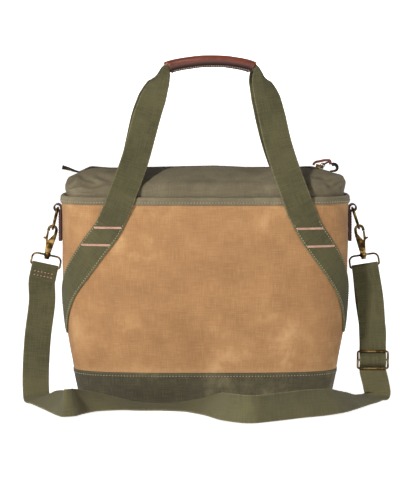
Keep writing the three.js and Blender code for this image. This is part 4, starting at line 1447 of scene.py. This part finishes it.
@dataclass
class Zip:
    """Metal zip along the ridge, with its slider, ring, leather pull and free ends."""

    collar: Collar
    cloth: Material
    brass: Material
    leather: Material
    tape: Tape = field(default_factory=lambda: Tape(6.1, 1.2))
    end_tape: Tape = field(default_factory=lambda: Tape(4.25, 1.4))
    lace: Tape = field(default_factory=lambda: Tape(2.0, 3.4))
    half_length: float = 175.0
    sunk: float = 0.4
    gap: float = 0.3
    tooth: Triple = (0.9, 2.7, 1.5)
    tooth_round: float = 0.22
    stagger: float = 0.75
    pitch: float = 2.1
    slider_x: float = 160.0
    slider_long: float = 11.0
    slider_seat: float = 1.4
    # the ring's lowest point over the slider's seat, its radius, wire and slope in degrees
    ring_foot: Triple = (3.6, 0.0, 5.75)
    ring: Triple = (4.4, 1.0, 38.0)
    # steps out and up of the left end, then the right curl's centre, radius and angles
    left_end: Table = ((0, 0), (7, 1.4), (16, 4.2), (25, 6.6))
    right_end: Row = (5.0, 5.6, 5.0, -90.0, 130.0)
    twists: Pair = (40.0, 34.0)
    # X, width and height of two arches
    proud: Table = ((-160.0, 15.0, 1.2), (143.0, 11.0, 1.1))
    lace_run: Table = ((-9.6, 0, 2.0), (-7.4, 0, 6.5), (-1.5, 0, 9.4), (4.0, 0, 12.0))
    lace_bend: Triple = (2.6, 115.0, -60.0)

    def path(self) -> Array:
        """The tape's middle line.

        Returns:
            Its points.
        """
        x = np.linspace(-self.half_length, self.half_length, 90)
        arches = sum(tall * hump(x, middle, wide) for middle, wide, tall in self.proud)
        z = self.collar.crest(x) - self.sunk - self.tape.thick / 2 + arches
        return np.column_stack([x, 0 * x, z])

    def ends(self) -> tuple[Array, Array]:
        """The lines of the left end, which stands out, and the right one, which curls over.

        Returns:
            Both lines.
        """
        start = self.half_length + self.gap
        left_z, right_z = self.collar.crest((-start, start)) + self.gap
        left = spline(np.array([(-start - out, 0.0, left_z + rise) for out, rise in self.left_end]), 8)
        out, rise, radius, first, last = self.right_end
        curl = arc(start + out, right_z + rise, radius, first, last, 27)
        return left, np.vstack([[start, 0.0, right_z], curl])

    @staticmethod
    def across(line: Array, twist: float) -> Array:
        """Directions across a tape in the X-Z plane that turns on its own line, in all by a twist."""
        turn = np.radians(np.linspace(0.0, twist, len(line)))[:, None]
        return BACK * np.cos(turn) + np.cross(heading(line), BACK) * np.sin(turn)

    def teeth(self, piece: Piece, line: Array, across: Array, off: float) -> None:
        """Adds two staggered rows of teeth.

        Args:
            piece: the mesh they are added to.
            line: the tape's line.
            across: the direction across the tape at each point.
            off: how far they stand off its middle.
        """
        spots = even(np.hstack([line, across]), self.pitch / 2)
        for k, (spot, way) in enumerate(zip(spots, heading(spots[:, :3]))):
            side = unit(spot[3:])
            up = np.cross(way, side)
            at = spot[:3] + up * off + side * (self.stagger if k % 2 else -self.stagger)
            piece.block(placement((way, side, up), at), self.tooth, self.tooth_round)

    def build(self) -> None:
        """Makes the zip's pieces."""
        left, right = self.ends()
        teeth = Piece("zip_teeth")
        for points, name, node, tape, twist in (
            (self.path(), "zip_ribbon", "zip_tape", self.tape, 0.0),
            (left, "zip_end_left", "zip_tail_left", self.end_tape, self.twists[0]),
            (right, "zip_end_right", "zip_tail_right", self.end_tape, self.twists[1]),
        ):
            across = self.across(points, twist)
            tape.piece(name, tape.lay(points, across)).placed(self.cloth, Slot.ZIP, [node])
            self.teeth(teeth, points, across, (tape.thick + self.tape.thick) / 2)
        teeth.placed(self.brass, Slot.BRASS, crease=30.0)
        Piece("zip_runner").copy_of("zip_slider", 0.45).placed(self.brass, Slot.BRASS, ["zip_slider"])
        self.pull()

    def pull(self) -> None:
        """Makes the ring in the slider's bail and the leather lace through it."""
        ends = self.collar.crest((self.slider_x - self.slider_long, self.slider_x + self.slider_long))
        tilt = Matrix.Rotation(-math.atan2(ends[1] - ends[0], 2 * self.slider_long), 4, "Y")
        z = self.collar.crest(self.slider_x) + self.slider_seat
        seat = Matrix.Translation((self.slider_x, 0, z)) @ tilt
        radius, wire, slope = self.ring
        reach = np.array([math.cos(math.radians(slope)), 0.0, math.sin(math.radians(slope))])
        angle = np.linspace(0, 2 * math.pi, 28, endpoint=False)[:, None]
        hoop = self.ring_foot + radius * (reach + np.cos(angle) * reach + np.sin(angle) * BACK)
        Piece("zip_hoop").wire(hoop, wire, 10).moved(seat).placed(self.brass, Slot.BRASS, ["zip_ring"])
        high = self.ring_foot + reach * 2 * radius
        bend, first, last = self.lace_bend
        line = spline(np.vstack([self.lace_run, arc(high[0], high[2], bend, first, last, 13)]), 4)
        lace = self.lace.piece("zip_lace", self.lace.lay(line, BACK))
        lace.moved(seat).placed(self.leather, Slot.GRIP, ["zip_pull"])


@dataclass
class SideFitting:
    """One side's leather tab, D-ring, swivel clasp, gate and loop."""

    word: str
    sign: int
    boss_x: float
    lean: float
    tab_leather: Material
    brass: Material
    thread: Thread
    boss_z: float = 201.2
    tab: Tape = field(default_factory=lambda: Tape(12.5, 2.0))
    # the X of the tab's two layers, its outer face and the D-ring's bar
    inner: float = 201.85
    outer: float = 203.95
    face: float = 205.0
    bar_x: float = 206.8
    tab_foot: float = 224.4
    tab_neck: float = 264.0
    loop_z: float = 271.0
    loop_radius: float = 4.7
    bar_down: float = 1.3
    sewn_y: float = 10.4
    sewn_z: Pair = (226.6, 259.0)
    edges_z: Pair = (227.0, 260.0)
    pitch: float = 3.4
    d_half: float = 16.2
    d_side: float = 13.8
    d_corner: float = 2.6
    d_wire: float = 1.6
    hang: float = 40.5
    loop_drop: float = 13.0

    def __post_init__(self) -> None:
        """Sets the turn that brings a right-hand piece to this side."""
        self.turn = Matrix.Rotation(0.0 if self.sign > 0 else math.pi, 4, "Z")

    def leather(self) -> None:
        """Makes the doubled tab that closes round the D-ring's bar."""
        heights = np.linspace(self.tab_foot, self.tab_neck, 12)
        up, down = ([(x, 0, z) for z in heights] for x in (self.inner, self.outer))
        loop = arc(self.bar_x, self.loop_z, self.loop_radius, 178, -126, 26)
        line = spline(np.vstack([up, loop, down[::-1]]), 2)
        piece = self.tab.piece(f"tab_{self.word}_leather", self.tab.lay(line, BACK)).moved(self.turn)
        piece.placed(self.tab_leather, Slot.TAB, [f"tab_{self.word}"])
        out, y = np.array([float(self.sign), 0.0, 0.0]), self.sewn_y
        lines = [[(y * s, z) for z in np.linspace(*self.edges_z, 8)] for s in (-1, 1)]
        lines += [[(s, z) for s in np.linspace(-y, y, 5)] for z in self.sewn_z]
        for row in lines:
            self.thread.row(np.array([(self.face * self.sign, *spot) for spot in row]), out, self.pitch)

    def metal(self) -> None:
        """Makes the D-ring, loop, clasp and gate."""
        bar_z, lean = self.loop_z - self.bar_down, math.radians(self.lean)
        foot_x = self.boss_x - self.hang * math.sin(lean)
        foot_z = self.boss_z + self.hang * math.cos(lean)
        outline = np.vstack([
            arc(self.d_half - self.d_corner, -self.d_corner, self.d_corner, 90, 0, 6),
            arc(0, -self.d_side, self.d_half, 0, -180, 24),
            arc(self.d_corner - self.d_half, -self.d_corner, self.d_corner, 180, 90, 6),
        ])
        swing = Matrix.Rotation(-math.atan2(foot_x - self.bar_x, bar_z - foot_z), 4, "Y")
        quarter = Matrix.Rotation(math.pi / 2, 4, "Z")
        place = self.turn @ Matrix.Translation((self.bar_x, 0, bar_z)) @ swing @ quarter
        ring = Piece(f"d_ring_{self.word}_wire").wire(outline, self.d_wire)
        ring.moved(place).placed(self.brass, Slot.BRASS, [f"d_ring_{self.word}"])
        for name, node, round_by, sharp, body in (
            ("swivel", "loop", 0.5, 40.0, Body.BAG),
            ("hook", "clasp", 0.45, 25.0, Body.BAG),
            ("lever", "gate", 0.35, 25.0, Body(f"gate_{self.word}")),
        ):
            solid = f"{node}_{self.word}"
            piece = Piece(f"{name}_{self.word}").copy_of(solid, round_by, sharp)
            piece.placed(self.brass, Slot.BRASS, [solid], body)

    def bar(self) -> Bar:
        """The loop's lower bar, which holds the strap.

        Returns:
            Its middle, the direction up the clasp and the direction across the strap.
        """
        lean = math.radians(self.lean)
        up = np.array([-self.sign * math.sin(lean), 0.0, math.cos(lean)])
        middle = np.array([self.sign * self.boss_x, 0.0, self.boss_z]) - up * self.loop_drop
        return middle, up, np.array([-self.sign * math.cos(lean), 0.0, -math.sin(lean)])


@dataclass
class ShoulderStrap:
    """Webbing strap between the two swivel loops, with its slider.

    It is laid through stations, which are rows of a point and the direction across the strap there.
    """

    left: SideFitting
    right: SideFitting
    webbing: Material
    brass: Material
    thread: Thread
    tape: Tape = field(default_factory=lambda: Tape(18.6, 1.9))
    steps: int = 8
    rest: float = 2.0
    tail: float = 21.0
    below: float = 8.0
    loop_wire: float = 1.6
    gap: float = 0.3
    # how much paler the strap is painted near the floor, a painted highlight on the part lying face up
    rubbed: float = 0.3
    # the slider's middle, then its half width, half height, wire and corner
    glide: Triple = (235.5, -10.0, 57.0)
    glide_frame: tuple[float, float, float, float] = (21.2, 12.0, 1.5, 2.6)
    # the stations of the sewn end's front, and its rows' distances below the bar
    sewn: tuple[int, int] = (9, 11)
    stitch_rows: Pair = (9.0, 14.4)
    stitch_pitch: float = 4.6
    left_drop: Table = (
        (-229, -4, 140, 1, 0, -0.08), (-235, -8, 90, 1, 0, 0), (-237.5, -11, 50, 1, 0, 0),
        (-238, -12, 24, 1, 0, 0.02), (-237, -17.5, 9, 1, 0.06, 0.05),
    )
    # X and Y of the lower edge on the floor, and how far the strap leans up in degrees
    floor_run: Table = (
        (-252, -40, 9), (-240, -74, 26), (-224, -118, 40), (-209, -160, 51), (-199, -187, 68),
        (-189, -200, 86), (-177, -194, 86), (-165, -173, 62), (-148, -148, 45), (-118, -132, 22),
        (-86, -127, 3), (-55, -130, 4), (-24, -147, 22), (0, -187, 50), (27, -240, 80),
        (59, -262, 90), (94, -240, 90), (132, -208, 86), (160, -190, 68), (184, -168, 60),
        (206, -126, 40), (228, -76, 22), (246, -36, 8),
    )
    right_rise: Table = ((241.5, -13, 8.5, -1, 0.04, 0), (240, -9.2, 23, -1, 0, -0.06))
    back_layer: Table = ((230, 6, 140, -1, 0, -0.05), (236, 1, 96, -1, 0, 0))

    @staticmethod
    def by_hand(rows: Table) -> Array:
        """Stations as they are written in a table."""
        made = np.array(rows, float)
        return np.hstack([made[:, :3], unit(made[:, 3:])])

    @staticmethod
    def beside(bar: Bar, *spots: Pair) -> Array:
        """Stations down along the strap from a bar and off to its back."""
        middle, up, across = bar
        return np.array([np.append(middle - up * down + BACK * off, across) for down, off in spots])

    @staticmethod
    def round_bar(bar: Bar, radius: float, first: float, last: float, steps: int) -> Array:
        """Stations that turn round a bar.

        Args:
            bar: the bar's middle, the direction up and the direction across.
            radius: the strap's distance from the bar's middle.
            first: the first angle in degrees.
            last: the last angle.
            steps: how many parts the turn has.

        Returns:
            The stations.
        """
        middle, up, across = bar
        angle = np.radians(np.linspace(first, last, steps + 1))[:, None]
        at = middle + radius * (up * np.sin(angle) + BACK * np.cos(angle))
        return np.hstack([at, np.broadcast_to(across, at.shape)])

    def on_floor(self) -> Array:
        """Stations on the floor.

        Returns:
            The stations.
        """
        rows = np.array(self.floor_run, float)
        near = np.pad(rows[:, :2], ((1, 1), (0, 0)), mode="edge")
        x, y = unit(near[2:] - near[:-2]).T
        lean = np.radians(rows[:, 2])
        across = np.column_stack([-y * np.cos(lean), x * np.cos(lean), np.sin(lean)])
        clear = self.rest + self.tape.thick / 2 * np.abs(np.cos(lean))
        return np.hstack([np.column_stack([rows[:, :2], clear]) + across * self.tape.half, across])

    def stations(self) -> Array:
        """All stations, from the sewn left end to the end at the slider's middle bar.

        Returns:
            The stations.
        """
        turn = self.loop_wire + self.gap + self.tape.thick / 2
        left, right = self.left.bar(), self.right.bar()
        glide = (np.array(self.glide), UP, np.array([-1.0, 0.0, 0.0]))
        _, tall, wire, _ = self.glide_frame
        near = wire + 2 * self.gap + self.tape.thick / 2
        over = near + self.tape.thick + 0.5
        through = (
            (tall + 3, near - 0.6), (tall, near + 0.1), (tall - 2.2, near), (7.2, 0.6),
            (4.4, 1.6 - over), (0, -over), (-4.4, 1.6 - over),
            (-7.2, 0.6), (2.2 - tall, near), (-tall, near + 0.1), (-tall - 6, near),
        )
        behind = ((-tall - 4.4, over + 1.4), (-tall, over + 1.1), (-4.4, near + 1.1))
        return np.vstack([
            self.beside(left, (self.tail, 1.7), (self.below, turn)),
            self.round_bar(left, turn, 0, 180, 6),
            self.beside(left, (self.below, -turn), (self.tail + 1, -1.4)),
            self.by_hand(self.left_drop), self.on_floor(), self.by_hand(self.right_rise),
            self.beside(glide, *through),
            self.beside(right, (50, -3.4), (self.below, -turn - 0.1)),
            self.round_bar(right, turn, 180, 0, 6),
            self.beside(right, (self.below, turn + self.gap)),
            self.by_hand(self.back_layer), self.beside(glide, *behind),
            self.round_bar(glide, near, 0, -180, 5), self.beside(glide, (-1.1, -near)),
        ])

    def eased(self, across: Array) -> Array:
        """Directions averaged with their neighbours, so that the strap twists without a crease."""
        padded = np.pad(across, ((self.steps, self.steps), (0, 0)), mode="edge")
        return np.lib.stride_tricks.sliding_window_view(padded, 2 * self.steps + 1, axis=0).mean(axis=-1)

    def build(self) -> None:
        """Makes the strap, its sewn end and its slider."""
        rough = self.stations()
        at = spline(rough[:, :3], self.steps)
        index, knots = np.arange(len(at)) / self.steps, np.arange(len(rough))
        across = np.column_stack([np.interp(index, knots, column) for column in rough[:, 3:].T])
        rings = self.tape.lay(at, self.eased(across))
        piece = self.tape.piece("carry_strap", rings, self.rubbed)
        strap = piece.placed(self.webbing, Slot.WEBBING, ["shoulder_strap"], crease=70.0)
        self.sew(rings)
        self.slider()
        length = float(travelled(at)[-1]) * MM
        LOG.info("strap webbing: %.3f m", length)
        flat = (2 * self.tape.half * MM, length)

    def sew(self, rings: Array) -> None:
        """Sews the doubled left end.

        Args:
            rings: the strap's rings.
        """
        bar, up, wide = self.left.bar()
        first, last = (station * self.steps for station in self.sewn)
        front = rings[first : last + 1, len(self.tape.flats) // 2]
        shares = np.linspace(-0.78, 0.78, 6)[:, None]
        for down in self.stitch_rows:
            y = np.interp(down, (bar - front) @ up, front[:, 1]) - self.tape.thick / 2 - 0.1
            line = bar - up * down + wide * shares * self.tape.half + BACK * y
            self.thread.row(line, -BACK, self.stitch_pitch)

    def slider(self) -> None:
        """Makes the slider's frame and middle bar."""
        half, tall, wire, corner = self.glide_frame
        corners = ((1, 1, 0, 8), (-1, 1, 90, 8), (-1, -1, 180, 6), (1, -1, 270, 6))
        outline = np.vstack([
            arc(x * (half - corner), z * (tall - corner), corner, turn, turn + 90, steps)
            for x, z, turn, steps in corners
        ])
        bar = np.linspace(-half, half, 8)[:, None] * (1.0, 0.0, 0.0)
        slider = Piece("strap_glide").wire(outline, wire).wire(bar, wire, looped=False)
        slider.moved(Matrix.Translation(self.glide)).placed(self.brass, Slot.BRASS, ["strap_slider"])


@dataclass
class Studio:
    """White paper floor and round screen, soft lights and the camera, all in metres."""

    paper: Material
    screen: Material
    eye: Triple = (0.004, -4.0, 0.52)
    target: Triple = (0.004, 0.0, 0.225)
    lamp_target: Triple = (0.0, 0.0, 0.2)
    lens: float = 214.3
    sensor: float = 36.0
    far: float = 60.0
    floor_half: float = 9.0
    screen_tall: float = 1.8
    segments: int = 64
    sky: float = 0.1
    # name, place, size and watts
    lamps: tuple[tuple[str, Triple, float, float], ...] = (
        ("key", (-1.85, -2.9, 2.5), 0.32, 216.0),
        ("fill", (2.6, -2.4, 1.2), 2.2, 12.0),
        ("back", (1.6, 3.0, 2.4), 1.6, 34.0),
    )

    def room(self) -> None:
        """Makes the floor and the low round screen behind everything."""
        floor, wall = bmesh.new(), bmesh.new()
        bmesh.ops.create_circle(floor, cap_ends=True, segments=self.segments, radius=self.floor_half)
        bmesh.ops.create_cone(
            wall, cap_ends=False, segments=self.segments, radius1=self.floor_half, radius2=self.floor_half,
            depth=self.screen_tall, matrix=Matrix.Translation((0, 0, self.screen_tall / 2)),
        )
        for name, bm, finish in (("floor", floor, self.paper), ("screen", wall, self.screen)):
            stand(name, bm, finish)

    @staticmethod
    def hang(name: str, data: bpy.types.ID, at: Sequence[float], target: Sequence[float]) -> Object:
        """Puts a lamp or camera in the scene.

        Args:
            name: its name.
            data: the lamp or camera.
            at: its place.
            target: the point that it is aimed at.

        Returns:
            The object.
        """
        obj = bpy.data.objects.new(name, data)
        obj.location = at
        obj.rotation_euler = (Vector(target) - Vector(at)).to_track_quat("-Z", "Y").to_euler()
        bpy.context.scene.collection.objects.link(obj)
        return obj

    def light(self) -> None:
        """Sets the sky and hangs the lamps, aimed at the bag."""
        world = bpy.data.worlds.new("studio")
        world.use_nodes = True
        sky = next(n for n in world.node_tree.nodes if n.type == "BACKGROUND")
        sky.inputs["Color"].default_value = WHITE
        sky.inputs["Strength"].default_value = self.sky
        bpy.context.scene.world = world
        for name, at, size, power in self.lamps:
            lamp = bpy.data.lights.new(name, "AREA")
            lamp.size, lamp.energy = size, power
            self.hang(name, lamp, at, self.lamp_target)

    def build(self) -> None:
        """Makes the room, the lights and the camera."""
        bpy.context.scene.view_settings.view_transform = "Standard"
        self.room()
        self.light()
        camera = bpy.data.cameras.new("camera")
        camera.lens, camera.sensor_width, camera.clip_end = self.lens, self.sensor, self.far
        bpy.context.scene.camera = self.hang("camera", camera, self.eye, self.target)


TAN = WaxedCanvas("tan_waxed_canvas", tone(125, 89, 54), tone(150, 111, 71), tone(180, 147, 104))
DARK_BASE = WaxedCanvas("base_waxed_canvas", tone(47, 43, 29), tone(66, 60, 40), tone(108, 99, 72), 0.6)
OLIVE = WaxedCanvas("collar_canvas", tone(79, 71, 53), tone(101, 91, 70), tone(132, 122, 97), 0.45)
WEBBING = CottonWebbing("olive_webbing", tone(58, 55, 37), tone(80, 76, 51), tone(130, 122, 89), 0.0186)
GRIP = Leather("grip_leather", tone(38, 16, 10), tone(86, 37, 23), tone(134, 74, 52), 0.36, 0.12)
TAB = Leather("tab_leather", tone(44, 23, 19), tone(68, 37, 32), tone(101, 63, 54), 0.5, 0.15)
BRASS = AgedBrass("antique_brass", tone(34, 27, 15), tone(106, 80, 43), tone(164, 132, 80), 0.9)
ZIP_CLOTH = CottonWebbing("zip_cloth", tone(24, 23, 19), tone(36, 34, 29), tone(66, 62, 54), 0.0061, 0.0008)
SEAM_THREAD = SewingThread("seam_thread", tone(110, 103, 85), tone(146, 137, 117))
EDGE_THREAD = SewingThread("edge_thread", tone(108, 103, 78), tone(145, 138, 111))
TACK_THREAD = SewingThread("tack_thread", tone(144, 106, 89), tone(184, 144, 125))
PAPER = StudioPaper("studio_paper", tone(206, 206, 206), tone(214, 214, 214), 0.85)
SCREEN = StudioPaper("studio_screen", tone(250, 250, 250), tone(254, 254, 254), 1.0)


def main() -> None:
    """Builds the bag's pieces in order."""
    logging.basicConfig(level=logging.INFO, format="%(name)s %(message)s")
    olive, webbing, brass, grip, tab = (finish.make() for finish in (OLIVE, WEBBING, BRASS, GRIP, TAB))
    Studio(PAPER.make(), SCREEN.make()).build()
    seams = Thread("seam_stitches", SEAM_THREAD.make(), Slot.OLIVE)
    edges = Thread("edge_stitches", EDGE_THREAD.make(), Slot.WEBBING)
    tacks = Thread("tack_stitches", TACK_THREAD.make(), Slot.WEBBING, 2.8, 0.7, 0.5)
    skin = Skin()
    PaddedWall(skin, TAN.make()).build()
    WaxedBase(skin, DARK_BASE.make(), seams).build()
    BoundRim(skin, olive, seams).build()
    collar = Collar(olive)
    collar.build()
    Zip(collar, ZIP_CLOTH.make(), brass, grip).build()
    for side in Side:
        handle = WebHandle(skin, side, webbing, edges, tacks)
        LeatherGrip(handle, grip, seams).build()
        handle.build()
    left = SideFitting("left", -1, 222.2, 12.0, tab, brass, seams)
    right = SideFitting("right", 1, 222.4, 9.0, tab, brass, seams)
    for fitting in (left, right):
        fitting.leather()
        fitting.metal()
    ShoulderStrap(left, right, webbing, brass, tacks).build()
    for thread in (seams, edges, tacks):
        thread.tie_off()


if __name__ == "__main__":
    main()
